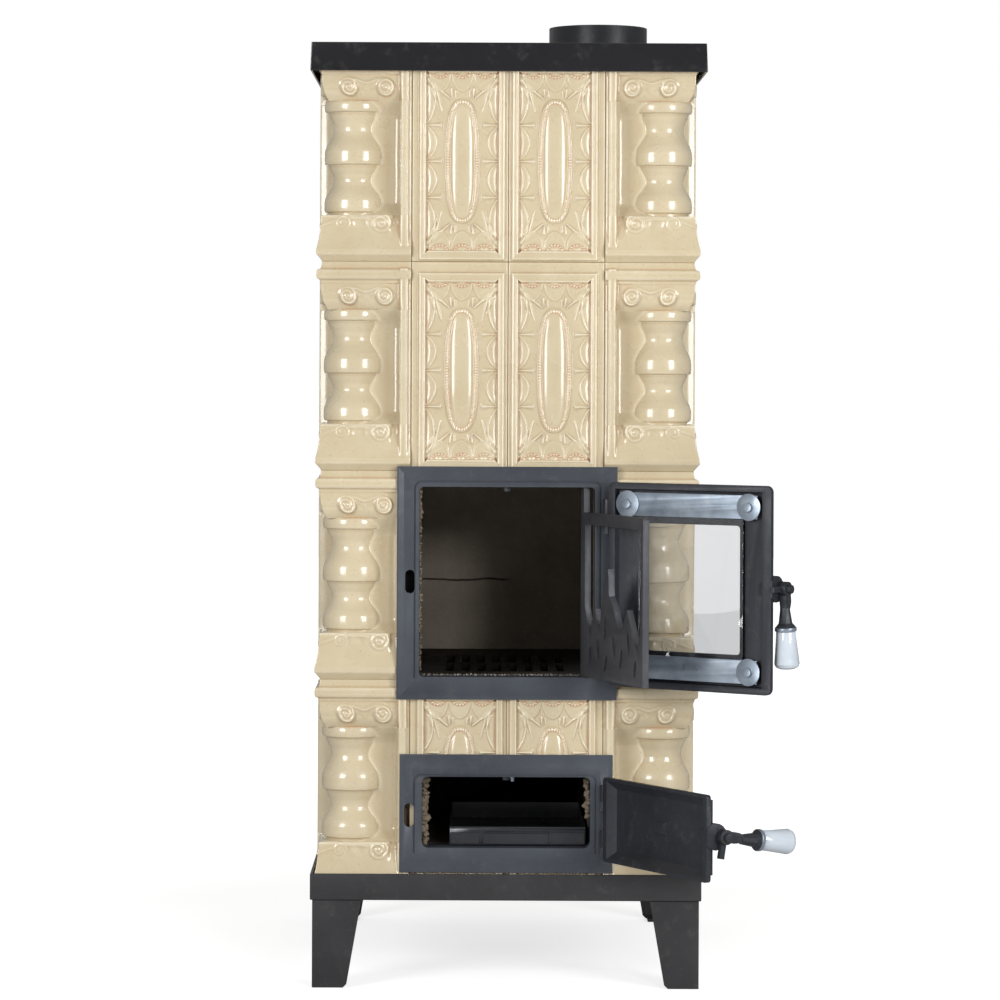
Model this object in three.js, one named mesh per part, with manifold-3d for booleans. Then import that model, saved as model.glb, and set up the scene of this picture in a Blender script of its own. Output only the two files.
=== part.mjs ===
// A portable tiled stove: four courses of glazed tiles with turned corner columns on a steel tray
// with four legs, a glazed fire door, a swinging flame guard, an ash door, a drawer and a flue collar.
// Millimetres, +Z up, front towards -Y. The origin is on the floor under the middle of the body.
// Both doors, the guard and one latch lever stand open, as when the fire is about to be laid.

import * as THREE from 'three';
import { mergeVertices } from 'three/addons/utils/BufferGeometryUtils.js';
import Module from 'manifold-3d';

const wasm = await Module();
wasm.setup();

// ---------------------------------------------------------------- driving sizes

const gap = 0.3;                 // clearance between neighbouring pieces
const body = { width: 412, depth: 522 };                   // over the plain faces of the tiles
const course = { count: 4, pitch: 230, base: 108 };        // tile courses, counted upwards

const tile = {
  depth: 30,                     // face to back, with its clay filling
  halfJoint: 1,
  cornerLeg: 99.7,               // each leg of a corner tile
  rimProud: 4.5,
  rimWidth: 9.5,
  rimSlope: 2.5,
  sideInset: 3,                  // joint to rim, at the sides
  cornerInset: 7,                // flat tiles: rim to the joint with a corner tile
  lowerInset: 1.5,
  upperInset: 11.5,
  medallion: { width: 38, height: 136, proud: 5.2, embed: 1.5 },
};

const column = {
  inset: 36,                     // tile faces to the axis
  bulge: 33.8,
  waist: 26,
  neck: 28.3,                    // just under a ledge
  ledges: [53.7, 107, 162.6],        // heights of the ledges over the tile's bed
  foot: 30,
  coveEdge: 8,                   // depth of the cove beside the rim, and where it meets the column
  coveDepth: 22,
  footFlare: 5.5,                // how far the base moulding stands out
  footBand: 9,
  footHeight: 50,
  crownHeight: 12,
  crownProud: 5,
  capitalHeight: 30,
  scroll: { radius: 11.5, proud: 2, near: 28.6, far: 71, height: 191 },
};

const tray = { overhang: 9, sheet: 3, bottom: 96.5, height: 29 };
const leg = { inset: 2.5, topWidth: 54, footWidth: 38, sheet: 3, chamfer: 4, foot: 4 };
const plate = { overhang: 11, sheet: 2, top: 1038.5, skirt: 31.5, splay: 1.2 };
const collar = { outer: 118, wall: 2, x: 111, y: 150, top: 1091, under: 1004, flange: 13 };

const lining = { wall: 45, upper: 35, step: 820, top: 989, frontWall: 40, backWall: 42 };
const hearth = { top: 338 };
const baffle = { thickness: 30, mouth: 95 };
const grate = { width: 190, length: 260, centreY: -20, thickness: 14, seat: 10, slot: 9, bar: 9 };
const chamber = { halfWidth: 91, floor: 155, ceiling: 240, backY: 20 };

const fireFrame = {
  width: 242, bottom: 317, top: 573, thickness: 5, border: 7, borderDrop: 2.5,
  opening: { half: 96.3, bottom: 342, top: 550.6, radius: 5 },
  seat: { left: -102.2, right: 103.7, bottom: 334.5, top: 557.3, groove: 2, depth: 1.5 },
  slot: { x: -106.5, z: 446.5, width: 10.4, height: 26 },
  sleeve: 5,
};
const ashFrame = {
  width: 234, bottom: 126.8, top: 256.7, thickness: 5, border: 13, borderDrop: 3.5,
  opening: { half: 92.5, bottom: 154.5, top: 232.5, radius: 7 },
  seat: { left: -102, right: 99.5, bottom: 143, top: 235, groove: 2, depth: 1.5 },
  slot: { x: -106.5, z: 190, width: 10.4, height: 26 },
  sleeve: 4,
};
const standOff = 4.8;            // back of a door frame to the plain face of the tiles

const hinge = { axisDepth: 8.2, radius: 5.5, pin: 3, running: 0.3, sink: 1 };
const fireDoor = {
  axisX: 110, open: 144.8, knuckles: [345, 500], knuckle: 12, mate: 26,
  web: 7.5, thickness: 15, flange: 5.5,
  rim: { free: 12, hinged: 9, ends: 8 }, step: { free: 8, hinged: 4, ends: 4 },
  window: { left: -60, right: 61, bottom: 375.5, top: 513.5 },
  glass: { lap: 6, lapUp: 25, thickness: 4 },
  strip: { left: -84, right: 90, height: 25.5, thickness: 1.5, holeRadius: 3.3 },
  screws: { left: -74, right: 79.6, lower: 358, upper: 534.1 },
};
const ashDoor = {
  axisX: 108, open: 120.7, knuckles: [147, 197], knuckle: 10, mate: 18,
  thickness: 15, flange: 5.5, step: 8, dish: 8, bevel: 13,
};
const washer = { radius: 14.7, thickness: 1, head: 5.2, headHeight: 3.2, shank: 2.6 };

const lever = {
  pivotOut: 11, hub: 8, thickness: 9, pinHead: 4.6, headHeight: 4.5,
  lug: 1.5, lugRadius: 14.3, lugOut: 3, lugDepth: 6,
  nose: 23.3, noseHeight: 6, noseThickness: 5, tilt: 4.5,
  arm: 19.5, socket: 17, socketTop: 5.2, socketEnd: 7.6, flange: 11, flangeHeight: 4,
  rod: 3, ferrule: { radius: 11.8, height: 4 },
  grip: { top: 10.4, end: 13.6, length: 40, bore: 3.3, boreDepth: 30 },
};
const gripOffset = -1.5;
const leverRaised = { fire: 0, ash: 79.9 };

const guard = {
  axisX: 86, axisY: -262, open: 111, width: 176, bottom: 343.2, height: 180, thickness: 7,
  stile: 8, bar: 13, freeBar: 12, pin: 2.8, pinLength: 4.2, ring: 3.2,
};

const drawer = { left: -62, right: 88, front: -252, length: 240, height: 20.5, sheet: 1.5, pull: 70 };

// ---------------------------------------------------------------- materials

const paint = (color, roughness, metalness) =>
  new THREE.MeshStandardMaterial({ color, roughness, metalness });
const glaze = paint(0xd9cba0, 0.22, 0);
const castIron = paint(0x4a5059, 0.6, 0.5);
const guardIron = paint(0x55595f, 0.65, 0.5);
const blackPaint = paint(0x22242a, 0.3, 0.4);
const trayPaint = paint(0x3c3c3e, 0.45, 0.4);
const pipePaint = paint(0x2c2d30, 0.5, 0.4);
const fireclay = paint(0x8a7660, 0.9, 0);
const zinc = paint(0xa0a8b2, 0.4, 0.8);
const porcelain = paint(0xe6e9ec, 0.15, 0);
const windowGlass = paint(0xc8ccd2, 0.05, 0);
const sheetBlack = paint(0x1b1c1f, 0.3, 0.4);

// ---------------------------------------------------------------- geometry helpers

const rad = THREE.MathUtils.degToRad;
const stove = new THREE.Group();

// Vertices shared, slivers dropped and faces turned outwards, ready for a join or a cut.
function solid(geometry) {
  const bare = new THREE.BufferGeometry();
  bare.setAttribute('position', geometry.getAttribute('position').clone());
  bare.setIndex(geometry.getIndex());
  const merged = mergeVertices(bare, 1e-4);
  const points = merged.getAttribute('position').array;
  const corners = merged.getIndex().array;
  const kept = [];
  let volume = 0;
  for (let i = 0; i < corners.length; i += 3) {
    const [a, b, c] = [corners[i], corners[i + 1], corners[i + 2]];
    if (a === b || b === c || c === a) continue;
    kept.push([a, b, c]);
    const [p, q, r] = [a, b, c].map((k) => new THREE.Vector3().fromArray(points, 3 * k));
    volume += p.dot(q.cross(r));
  }
  const outward = volume > 0 ? kept : kept.map(([a, b, c]) => [a, c, b]);
  return new wasm.Manifold(new wasm.Mesh({
    numProp: 3,
    vertProperties: new Float32Array(points),
    triVerts: new Uint32Array(outward.flat()),
  }));
}

function geometryOf(manifold) {
  const mesh = manifold.getMesh();
  const geometry = new THREE.BufferGeometry();
  geometry.setAttribute('position', new THREE.BufferAttribute(mesh.vertProperties, 3));
  geometry.setIndex(new THREE.BufferAttribute(mesh.triVerts, 1));
  geometry.computeVertexNormals();
  return geometry;
}

const join = (...pieces) => geometryOf(pieces.map(solid).reduce((whole, piece) => whole.add(piece)));
const cut = (blank, ...tools) =>
  geometryOf(tools.map(solid).reduce((rest, tool) => rest.subtract(tool), solid(blank)));

function box(x0, x1, y0, y1, z0, z1) {
  const block = new THREE.BoxGeometry(x1 - x0, y1 - y0, z1 - z0);
  return block.translate((x0 + x1) / 2, (y0 + y1) / 2, (z0 + z1) / 2);
}

// A block from yBack to yFront whose front outline is smaller by `slope` on every side.
function pad(x0, x1, z0, z1, yBack, yFront, slope) {
  const block = box(x0, x1, Math.min(yBack, yFront), Math.max(yBack, yFront), z0, z1);
  const position = block.getAttribute('position');
  const [midX, midZ] = [(x0 + x1) / 2, (z0 + z1) / 2];
  for (let i = 0; i < position.count; i += 1) {
    if (Math.abs(position.getY(i) - yFront) > 1e-3) continue;
    position.setX(i, position.getX(i) - Math.sign(position.getX(i) - midX) * slope);
    position.setZ(i, position.getZ(i) - Math.sign(position.getZ(i) - midZ) * slope);
  }
  return block;
}

// A block over the square corner at x = y = 0, standing out by `low` at z0 and by `high` at z1.
function moulding(reach, z0, z1, low, high) {
  const block = box(-low, reach, -low, reach, z0, z1);
  const position = block.getAttribute('position');
  for (let i = 0; i < position.count; i += 1) {
    if (position.getZ(i) < z1 - 1e-3) continue;
    if (position.getX(i) < 0.5) position.setX(i, -high);
    if (position.getY(i) < 0.5) position.setY(i, -high);
  }
  return block;
}

const along = {
  x: (geometry) => geometry.rotateZ(-Math.PI / 2),
  y: (geometry) => geometry,
  z: (geometry) => geometry.rotateX(Math.PI / 2),
};

// A round bar from `start` to `end` along an axis; `at` gives its place on the two other axes.
function bar(axis, radius, start, end, at, facets = 16) {
  const rod = along[axis](new THREE.CylinderGeometry(radius, radius, end - start, facets));
  const middle = (start + end) / 2;
  const [p, q] = at;
  if (axis === 'x') return rod.translate(middle, p, q);
  if (axis === 'y') return rod.translate(p, middle, q);
  return rod.translate(p, q, middle);
}

function roundedRectangle(x0, x1, z0, z1, radius, path = new THREE.Shape()) {
  path.moveTo(x0 + radius, z0);
  path.lineTo(x1 - radius, z0);
  path.absarc(x1 - radius, z0 + radius, radius, -Math.PI / 2, 0, false);
  path.lineTo(x1, z1 - radius);
  path.absarc(x1 - radius, z1 - radius, radius, 0, Math.PI / 2, false);
  path.lineTo(x0 + radius, z1);
  path.absarc(x0 + radius, z1 - radius, radius, Math.PI / 2, Math.PI, false);
  path.lineTo(x0, z0 + radius);
  path.absarc(x0 + radius, z0 + radius, radius, Math.PI, 1.5 * Math.PI, false);
  return path;
}

// An outline drawn in x and z, carried from yFront to yBack.
function panel(shape, yFront, yBack, curveSegments = 3) {
  const slab = new THREE.ExtrudeGeometry(shape, {
    depth: yBack - yFront, bevelEnabled: false, curveSegments,
  });
  return slab.rotateX(Math.PI / 2).translate(0, yBack, 0);
}

// Adds a piece; a mirrored body has its faces turned outwards again here.
function place(name, geometry, material, parent = stove) {
  const mesh = new THREE.Mesh(geometryOf(solid(geometry)), material);
  mesh.name = name;
  parent.add(mesh);
  return mesh;
}

// ---------------------------------------------------------------- common planes

const half = { x: body.width / 2, y: body.depth / 2 };
const flatWidth = body.width / 2 - tile.cornerLeg;              // two flat tiles across the front
const sideCount = 3;
const sideWidth = (body.depth - 2 * tile.cornerLeg) / sideCount;
const courseTop = course.base + course.count * course.pitch;
const frameBack = -half.y - standOff;
const frameFront = frameBack - fireFrame.thickness;
const hingeY = frameFront - hinge.axisDepth;
const shell = { x: half.x - tile.depth - gap, y: half.y - tile.depth - gap };   // inside the tiles

// ---------------------------------------------------------------- tiles

// Flat tile: left edge on x = 0, bed on z = 0, plain face on y = 0, outside towards -y.
function flatTile(width, facets, farInset = tile.sideInset) {
  const { halfJoint, sideInset, lowerInset, upperInset, rimProud, rimWidth, rimSlope } = tile;
  const slab = box(halfJoint, width - halfJoint, 0, tile.depth, halfJoint, course.pitch - halfJoint);
  const [left, right] = [sideInset, width - farInset];
  const [low, high] = [lowerInset, course.pitch - upperInset];
  const rim = pad(left, right, low, high, 1, -rimProud, rimSlope);
  const field = pad(left + rimWidth, right - rimWidth, low + rimWidth, high - rimWidth,
    0, -rimProud - 1, -rimSlope);
  const { medallion } = tile;
  const oval = new THREE.SphereGeometry(1, facets, facets / 2).rotateX(Math.PI / 2);
  const proud = medallion.proud + medallion.embed;
  oval.scale(medallion.width / 2, proud, medallion.height / 2);
  oval.translate((left + right) / 2, medallion.embed, (low + high) / 2);
  return join(cut(join(slab, rim), field), oval);
}

// Profile of the turned column, from its foot to the capital: (radius, height) pairs.
function columnProfile() {
  const { bulge, waist, neck, foot, ledges } = column;
  const spacing = ledges[1] - ledges[0];
  const top = course.pitch - tile.upperInset - column.crownHeight;
  const start = column.footHeight - 6;
  const points = [[0, start], [foot, start], [foot - 3, ledges[0] - 3]];
  for (const ledge of ledges) {
    points.push([neck, ledge], [bulge, ledge + 1]);
    if (ledge === ledges[ledges.length - 1]) break;
    points.push([bulge - 1, ledge + 0.28 * spacing], [waist, ledge + 0.8 * spacing]);
  }
  points.push([bulge - 3, ledges[ledges.length - 1] + 0.36 * spacing], [bulge - 3, top], [0, top]);
  return points.map(([radius, height]) => new THREE.Vector2(radius, height));
}

// One leg of a corner tile in plan: a cove that falls from the rim to the column's side.
function legSection() {
  const { inset, coveEdge, coveDepth } = column;
  const end = tile.cornerLeg - tile.halfJoint;
  const rimInner = tile.cornerLeg - tile.sideInset - tile.rimWidth;
  const plan = new THREE.Shape();
  plan.moveTo(inset, coveDepth + 3);
  plan.lineTo(rimInner - 18, coveDepth - 2);
  plan.lineTo(rimInner, coveEdge);
  plan.lineTo(end, coveEdge);
  plan.lineTo(end, tile.depth);
  plan.lineTo(inset, tile.depth);
  return plan;
}

// Corner tile: its two plain faces on x = 0 and y = 0, its bed on z = 0, the room inside at +x +y.
function cornerTile(facets, scrollFacets) {
  const plain = scrollFacets === 0;
  const { halfJoint, sideInset, upperInset, rimProud, rimWidth, rimSlope } = tile;
  const { footFlare, footBand, footHeight, crownHeight, crownProud, capitalHeight, coveEdge } = column;
  const height = course.pitch;
  const reach = tile.cornerLeg - sideInset;
  const [bed, head] = [halfJoint, height - halfJoint];
  const crownTop = height - upperInset;
  const crown = crownTop - crownHeight;
  const leg = new THREE.ExtrudeGeometry(legSection(), { depth: head - bed, bevelEnabled: false });
  leg.translate(0, 0, bed);
  const edge = box(reach - 1, tile.cornerLeg - halfJoint, 0, coveEdge + 1, bed, head);
  const strip = pad(reach - rimWidth, reach, footBand, crownTop, coveEdge + 1, -rimProud, rimSlope);
  const front = join(leg, edge, strip);
  const side = front.clone().rotateZ(Math.PI / 2).scale(-1, 1, 1);
  const shaft = new THREE.LatheGeometry(columnProfile(), facets).rotateX(Math.PI / 2);
  shaft.translate(column.inset, column.inset, 0);
  const mouldings = plain ? [
    moulding(reach, bed, footBand, -1, footFlare),
    moulding(reach, footBand - 0.1, footHeight, footFlare, 0),
    moulding(reach, crown, head, crownProud, -2),
  ] : [
    moulding(reach, bed, footBand - 2, -1, footFlare - 1),
    moulding(reach, footBand - 2.1, footBand + 4, footFlare, footFlare - 0.3),
    moulding(reach, footBand + 3.9, footHeight - 12, footFlare - 0.3, 1),
    moulding(reach, footHeight - 12.1, footHeight, 1, 0),
    moulding(reach, crown, crown + 3, crownProud - 2, crownProud),
    moulding(reach, crown + 2.9, crownTop, crownProud, crownProud - 2.5),
    moulding(reach, crownTop - 0.1, head, -0.5, -2),
    moulding(2.05 * column.inset, crown - capitalHeight, crown + 0.1, -4, -0.5),
  ];
  const scrolls = [];
  const { radius, proud, near, far, height: level } = column.scroll;
  for (const distance of plain ? [] : [near, far]) {
    scrolls.push(bar('y', radius, -proud, tile.depth - 2, [distance, level], scrollFacets));
    scrolls.push(bar('x', radius, -proud, tile.depth - 2, [distance, level], scrollFacets));
  }
  const whole = join(front, side, shaft, ...mouldings, ...scrolls);
  return cut(whole, box(tile.depth, height, tile.depth, height, -1, height + 1));
}

const frontCorner = cornerTile(14, 8);
const backCorner = cornerTile(8, 0);
const frontFlat = flatTile(flatWidth, 14, tile.cornerInset);
const sideFlat = flatTile(sideWidth, 8);
const backFlat = flatTile(flatWidth, 8, tile.cornerInset);

// What the front tiles make room for: each frame's plate, its sleeve and the latch pocket behind.
function frameCuts(frame) {
  const { opening, sleeve, slot } = frame;
  const room = sleeve + gap;
  const reach = half.y + 60;
  return [
    box(-frame.width / 2 - gap, frame.width / 2 + gap, -reach, frameBack + gap,
      frame.bottom - gap, frame.top + gap),
    box(-opening.half - room, opening.half + room, -reach, -half.y + tile.depth + 1,
      opening.bottom - room, opening.top + room),
    box(slot.x - slot.width / 2 - 1, slot.x + slot.width / 2 + 1, -reach, frameBack + 12,
      slot.z - slot.height / 2 - 1, slot.z + slot.height / 2 + 1),
  ];
}

const trayWall = half.x + tray.overhang - tray.sheet - gap;
const trayFront = half.y + tray.overhang - tray.sheet - gap;
const insideTray = box(-trayWall, trayWall, -trayFront, trayFront, 0, plate.top);
const doorCuts = [...frameCuts(fireFrame), ...frameCuts(ashFrame)];

// Tiles of the lowest course are dressed to drop into the tray; front tiles also clear the doors.
function dressed(geometry, atFront, level) {
  let blank = solid(geometry);
  if (level === 1) blank = blank.intersect(solid(insideTray));
  if (atFront) blank = doorCuts.map(solid).reduce((rest, tool) => rest.subtract(tool), blank);
  return geometryOf(blank);
}

for (let level = 1; level <= course.count; level += 1) {
  const z = course.base + (level - 1) * course.pitch;
  for (const side of [-1, 1]) {
    const hand = side < 0 ? 'left' : 'right';
    const corner = frontCorner.clone().scale(-side, 1, 1).translate(side * half.x, -half.y, z);
    place(`corner_tile_${level}_${hand}`, dressed(corner, true, level), glaze);
    const flats = [];
    for (let i = 0; i < sideCount; i += 1) {
      const along = -half.y + tile.cornerLeg + i * sideWidth;
      const flat = sideFlat.clone().rotateZ(side * Math.PI / 2);
      const start = side < 0 ? along + sideWidth : along;
      flats.push(flat.translate(side * half.x, start, z));
    }
    // The narrow joints between the side tiles are pointed with clay, which holds them as a panel.
    const pointing = box(half.x - tile.depth, half.x - 2, -half.y + tile.cornerLeg + tile.halfJoint,
      half.y - tile.cornerLeg - tile.halfJoint, z + tile.halfJoint, z + course.pitch - tile.halfJoint);
    pointing.scale(side, 1, 1);
    place(`side_tiles_${level}_${hand}`, dressed(join(...flats, pointing), false, level), glaze);
  }
  const rear = [-1, 1].map((side) =>
    backCorner.clone().scale(-side, -1, 1).translate(side * half.x, half.y, z));
  for (const side of [-1, 1]) {
    rear.push(backFlat.clone().scale(side, -1, 1).translate(0, half.y, z));
  }
  const backing = box(-half.x + tile.depth - 4, half.x - tile.depth + 4, half.y - tile.depth,
    half.y - column.coveDepth - 4, z + tile.halfJoint, z + course.pitch - tile.halfJoint);
  place(`back_tiles_${level}`, dressed(join(...rear, backing), false, level), glaze);
}

const flatLevels = [[1, 'over_ash_door'], [3, 'over_fire_door'], [4, 'top']];
for (const [level, where] of flatLevels) {
  const z = course.base + (level - 1) * course.pitch;
  for (const side of [-1, 1]) {
    const flat = frontFlat.clone().scale(side, 1, 1).translate(0, -half.y, z);
    const hand = side < 0 ? 'left' : 'right';
    const notch = dressed(flat, true, level);
    place(`flat_tile_${where}_${hand}`, notch, glaze);
  }
}

// ---------------------------------------------------------------- fireclay inside

const chamberMouth = box(-chamber.halfWidth, chamber.halfWidth, -half.y, chamber.backY,
  chamber.floor, chamber.ceiling);
const throat = box(-grate.width / 2 + grate.seat, grate.width / 2 - grate.seat,
  grate.centreY - grate.length / 2 + grate.seat, grate.centreY + grate.length / 2 - grate.seat,
  chamber.floor + 1, hearth.top + 1);
const trayFloor = tray.bottom + tray.sheet;
const grateRoom = box(-grate.width / 2 - gap, grate.width / 2 + gap,
  grate.centreY - grate.length / 2 - gap, grate.centreY + grate.length / 2 + gap,
  hearth.top - grate.thickness - gap, hearth.top + 1);
const hearthBlock = box(-shell.x, shell.x, -shell.y, shell.y, trayFloor + gap, hearth.top);
place('hearth_block', cut(hearthBlock, chamberMouth, throat, grateRoom), fireclay);

const wallFoot = hearth.top + gap;
const sideWall = (side) => {
  const lower = box(shell.x - lining.wall, shell.x, -shell.y, shell.y, wallFoot, lining.step);
  const upper = box(shell.x - lining.upper, shell.x, -shell.y, shell.y, lining.step - 1, lining.top);
  const flueNotch = box(shell.x - lining.upper - 1, shell.x + 1, collar.y - collar.outer / 2 - 3,
    collar.y + collar.outer / 2 + 3, lining.step + baffle.thickness + 20, lining.top + 1);
  const wall = join(lower, upper);
  return (side > 0 ? cut(wall, flueNotch) : wall).scale(side, 1, 1);
};
place('lining_left', sideWall(-1), fireclay);
place('lining_right', sideWall(1), fireclay);

const firebox = {
  x: shell.x - lining.wall - gap,
  front: -shell.y + lining.frontWall,
  back: shell.y - lining.backWall,
};
const doorway = box(-fireFrame.opening.half - 1, fireFrame.opening.half + 1, -half.y, firebox.front + 1,
  wallFoot - 1, fireFrame.opening.top + 2);
place('lining_front', cut(box(-firebox.x, firebox.x, -shell.y, firebox.front, wallFoot, lining.step - gap),
  doorway), fireclay);
place('lining_back', box(-firebox.x, firebox.x, firebox.back, shell.y, wallFoot, lining.step - gap),
  fireclay);

const upperX = shell.x - lining.upper - gap;
place('baffle', box(-upperX, upperX, -shell.y + baffle.mouth, shell.y,
  lining.step + gap, lining.step + baffle.thickness), fireclay);

const coverSlab = box(-shell.x, shell.x, -shell.y, shell.y, lining.top + gap, plate.top - plate.sheet - 3);
const pipeRoom = bar('z', collar.outer / 2 + 1.5, collar.under - 20, plate.top, [collar.x, collar.y], 32);
const flueMouth = bar('z', collar.outer / 2 - 6, lining.top - 5, plate.top, [collar.x, collar.y], 24);
place('cover_slab', cut(coverSlab, pipeRoom, flueMouth), fireclay);

// The grate: a cast plate with two rows of slots.
const grateShape = roundedRectangle(-grate.width / 2, grate.width / 2, 0, grate.length, 6);
const slotPitch = grate.slot + grate.bar;
const slotCount = Math.floor((grate.width - 2 * grate.seat - grate.bar) / slotPitch);
const slotLength = grate.length / 2 - 1.9 * grate.seat;
for (let i = 0; i < slotCount; i += 1) {
  const x = (i - (slotCount - 1) / 2) * slotPitch;
  for (const start of [grate.seat * 1.4, grate.length / 2 + grate.seat / 2]) {
    const hole = roundedRectangle(x - grate.slot / 2, x + grate.slot / 2, start, start + slotLength,
      grate.slot * 0.3, new THREE.Path());
    grateShape.holes.push(hole);
  }
}
const grateBody = new THREE.ExtrudeGeometry(grateShape, {
  depth: grate.thickness, bevelEnabled: false, curveSegments: 1,
});
grateBody.translate(0, grate.centreY - grate.length / 2, hearth.top - grate.thickness);
place('grate', grateBody, guardIron);

// ---------------------------------------------------------------- tray, legs, plate and collar

const trayOut = { x: half.x + tray.overhang, y: half.y + tray.overhang };
const trayBlock = box(-trayOut.x, trayOut.x, -trayOut.y, trayOut.y, tray.bottom, tray.bottom + tray.height);
const trayRoom = box(-trayOut.x + tray.sheet, trayOut.x - tray.sheet,
  -trayOut.y + tray.sheet, trayOut.y - tray.sheet, trayFloor, tray.bottom + tray.height + 1);
place('base_tray', cut(trayBlock, trayRoom), trayPaint);

// A leg: two tapered flanges of folded sheet, with a pad under the tray and a sole at the floor.
function legBody() {
  const top = tray.bottom - gap;
  const flange = new THREE.Shape();
  flange.moveTo(0, 0);
  flange.lineTo(leg.footWidth - leg.chamfer, 0);
  flange.lineTo(leg.footWidth, leg.chamfer);
  flange.lineTo(leg.topWidth, top);
  flange.lineTo(0, top);
  const front = panel(flange, 0, leg.sheet);
  const side = front.clone().rotateZ(Math.PI / 2).scale(-1, 1, 1);
  const ledge = leg.topWidth - 6;
  const seat = box(0, ledge, 0, ledge, top - leg.sheet, top);
  const soleWidth = leg.footWidth - leg.chamfer - 1;
  const sole = box(0, soleWidth, 0, soleWidth, 0, leg.foot);
  return join(front, side, seat, sole);
}
const legAt = { x: trayOut.x - leg.inset, y: trayOut.y - leg.inset };
for (const [row, back] of [['front', -1], ['back', 1]]) {
  for (const [hand, side] of [['left', -1], ['right', 1]]) {
    const post = legBody().scale(-side, -back, 1).translate(side * legAt.x, back * legAt.y, 0);
    place(`leg_${row}_${hand}`, post, trayPaint);
  }
}

// The top plate: a sheet folded down all round, its skirt splayed a little.
const plateOut = { x: half.x + plate.overhang, y: half.y + plate.overhang };
function skirted(inset, z0, z1) {
  const block = box(-plateOut.x + inset, plateOut.x - inset, -plateOut.y + inset, plateOut.y - inset, z0, z1);
  const position = block.getAttribute('position');
  for (let i = 0; i < position.count; i += 1) {
    if (position.getZ(i) > z0 + 1e-3) continue;
    position.setX(i, position.getX(i) + Math.sign(position.getX(i)) * plate.splay);
    position.setY(i, position.getY(i) + Math.sign(position.getY(i)) * plate.splay);
  }
  return block;
}
const collarHole = bar('z', collar.outer / 2 + gap, plate.top - 20, plate.top + 20,
  [collar.x, collar.y], 32);
place('top_plate', cut(skirted(0, plate.top - plate.skirt, plate.top),
  skirted(plate.sheet, plate.top - plate.skirt - 0.01, plate.top - plate.sheet), collarHole), blackPaint);

// The collar: a rolled tube with a welded ring that hangs under the plate.
const tubeProfile = [
  [collar.outer / 2 - collar.wall, collar.under], [collar.outer / 2, collar.under],
  [collar.outer / 2, plate.top - plate.sheet - gap - 2],
  [collar.outer / 2 + collar.flange, plate.top - plate.sheet - gap - 2],
  [collar.outer / 2 + collar.flange, plate.top - plate.sheet - gap],
  [collar.outer / 2, plate.top - plate.sheet - gap],
  [collar.outer / 2, collar.top], [collar.outer / 2 - collar.wall, collar.top],
  [collar.outer / 2 - collar.wall, collar.under],
].map(([radius, height]) => new THREE.Vector2(radius, height));
const tube = new THREE.LatheGeometry(tubeProfile, 32).rotateX(Math.PI / 2);
place('flue_collar', tube.translate(collar.x, collar.y, 0), pipePaint);

// ---------------------------------------------------------------- door frames

// Knuckles cast on a frame, each with a riveted pin that stands up into the door's knuckle.
function frameKnuckles(door) {
  return door.knuckles.flatMap((foot) => [
    bar('z', hinge.radius, foot, foot + door.knuckle, [door.axisX, hingeY], 12),
    box(door.axisX - 5, door.axisX + hinge.radius, hingeY, frameFront + 1, foot, foot + door.knuckle),
    bar('z', hinge.pin, foot + 1, foot + door.knuckle + door.mate, [door.axisX, hingeY], 10),
  ]);
}

function doorFrame(frame, door) {
  const { opening, seat, slot, sleeve } = frame;
  const [left, right] = [-frame.width / 2, frame.width / 2];
  const step = frameBack - frame.thickness + frame.borderDrop;
  const flange = box(left, right, step, frameBack, frame.bottom, frame.top);
  const raised = pad(left + 0.5, right - 0.5, frame.bottom + 0.5, frame.top - 0.5,
    step + 0.5, frameFront, frame.border);
  const throatOut = roundedRectangle(-opening.half - sleeve, opening.half + sleeve,
    opening.bottom - sleeve, opening.top + sleeve, opening.radius + sleeve);
  const throatSleeve = panel(throatOut, frameBack - 1, -half.y + tile.depth - 1);
  const mouth = panel(roundedRectangle(-opening.half, opening.half, opening.bottom, opening.top,
    opening.radius), -half.y - 40, half.y, 3);
  const grooveOut = roundedRectangle(seat.left, seat.right, seat.bottom - 30, seat.top, 8);
  const grooveIn = roundedRectangle(seat.left + seat.groove, seat.right - seat.groove,
    seat.bottom - 40, seat.top - seat.groove, 7);
  const groove = cut(panel(grooveOut, frameFront - 5, frameFront + seat.depth),
    panel(grooveIn, frameFront - 6, frameFront + seat.depth + 1),
    box(left, right, frameFront - 9, frameFront + 9, seat.bottom - 60, seat.bottom + 6));
  const latchSlot = panel(roundedRectangle(slot.x - slot.width / 2, slot.x + slot.width / 2,
    slot.z - slot.height / 2, slot.z + slot.height / 2, slot.width / 2 - 0.1), -half.y - 40, -half.y, 4);
  const bolt = bar('z', 4, opening.top - 5, opening.top + 2, [0, frameBack + 12], 6);
  const shaped = cut(join(flange, raised, throatSleeve), mouth, groove, latchSlot);
  return join(shaped, bolt, ...frameKnuckles(door));
}

const guardPinHoles = [fireFrame.opening.bottom, fireFrame.opening.top].map((level) =>
  bar('z', guard.ring, level - 5.2, level + 5.2, [guard.axisX, guard.axisY], 10));
place('fire_door_frame', cut(doorFrame(fireFrame, fireDoor), ...guardPinHoles), castIron);
place('ash_door_frame', doorFrame(ashFrame, ashDoor), castIron);

// ---------------------------------------------------------------- doors

// A door group turns about its hinge; its pieces are drawn as if the door were shut.
function hung(door) {
  const group = new THREE.Group();
  group.position.set(door.axisX, hingeY, 0);
  group.rotation.z = rad(door.open);
  stove.add(group);
  return group;
}
const placeOn = (group, name, geometry, material) =>
  place(name, geometry.clone().translate(-group.position.x, -group.position.y, 0), material, group);

const doorBack = frameFront - gap;

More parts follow.
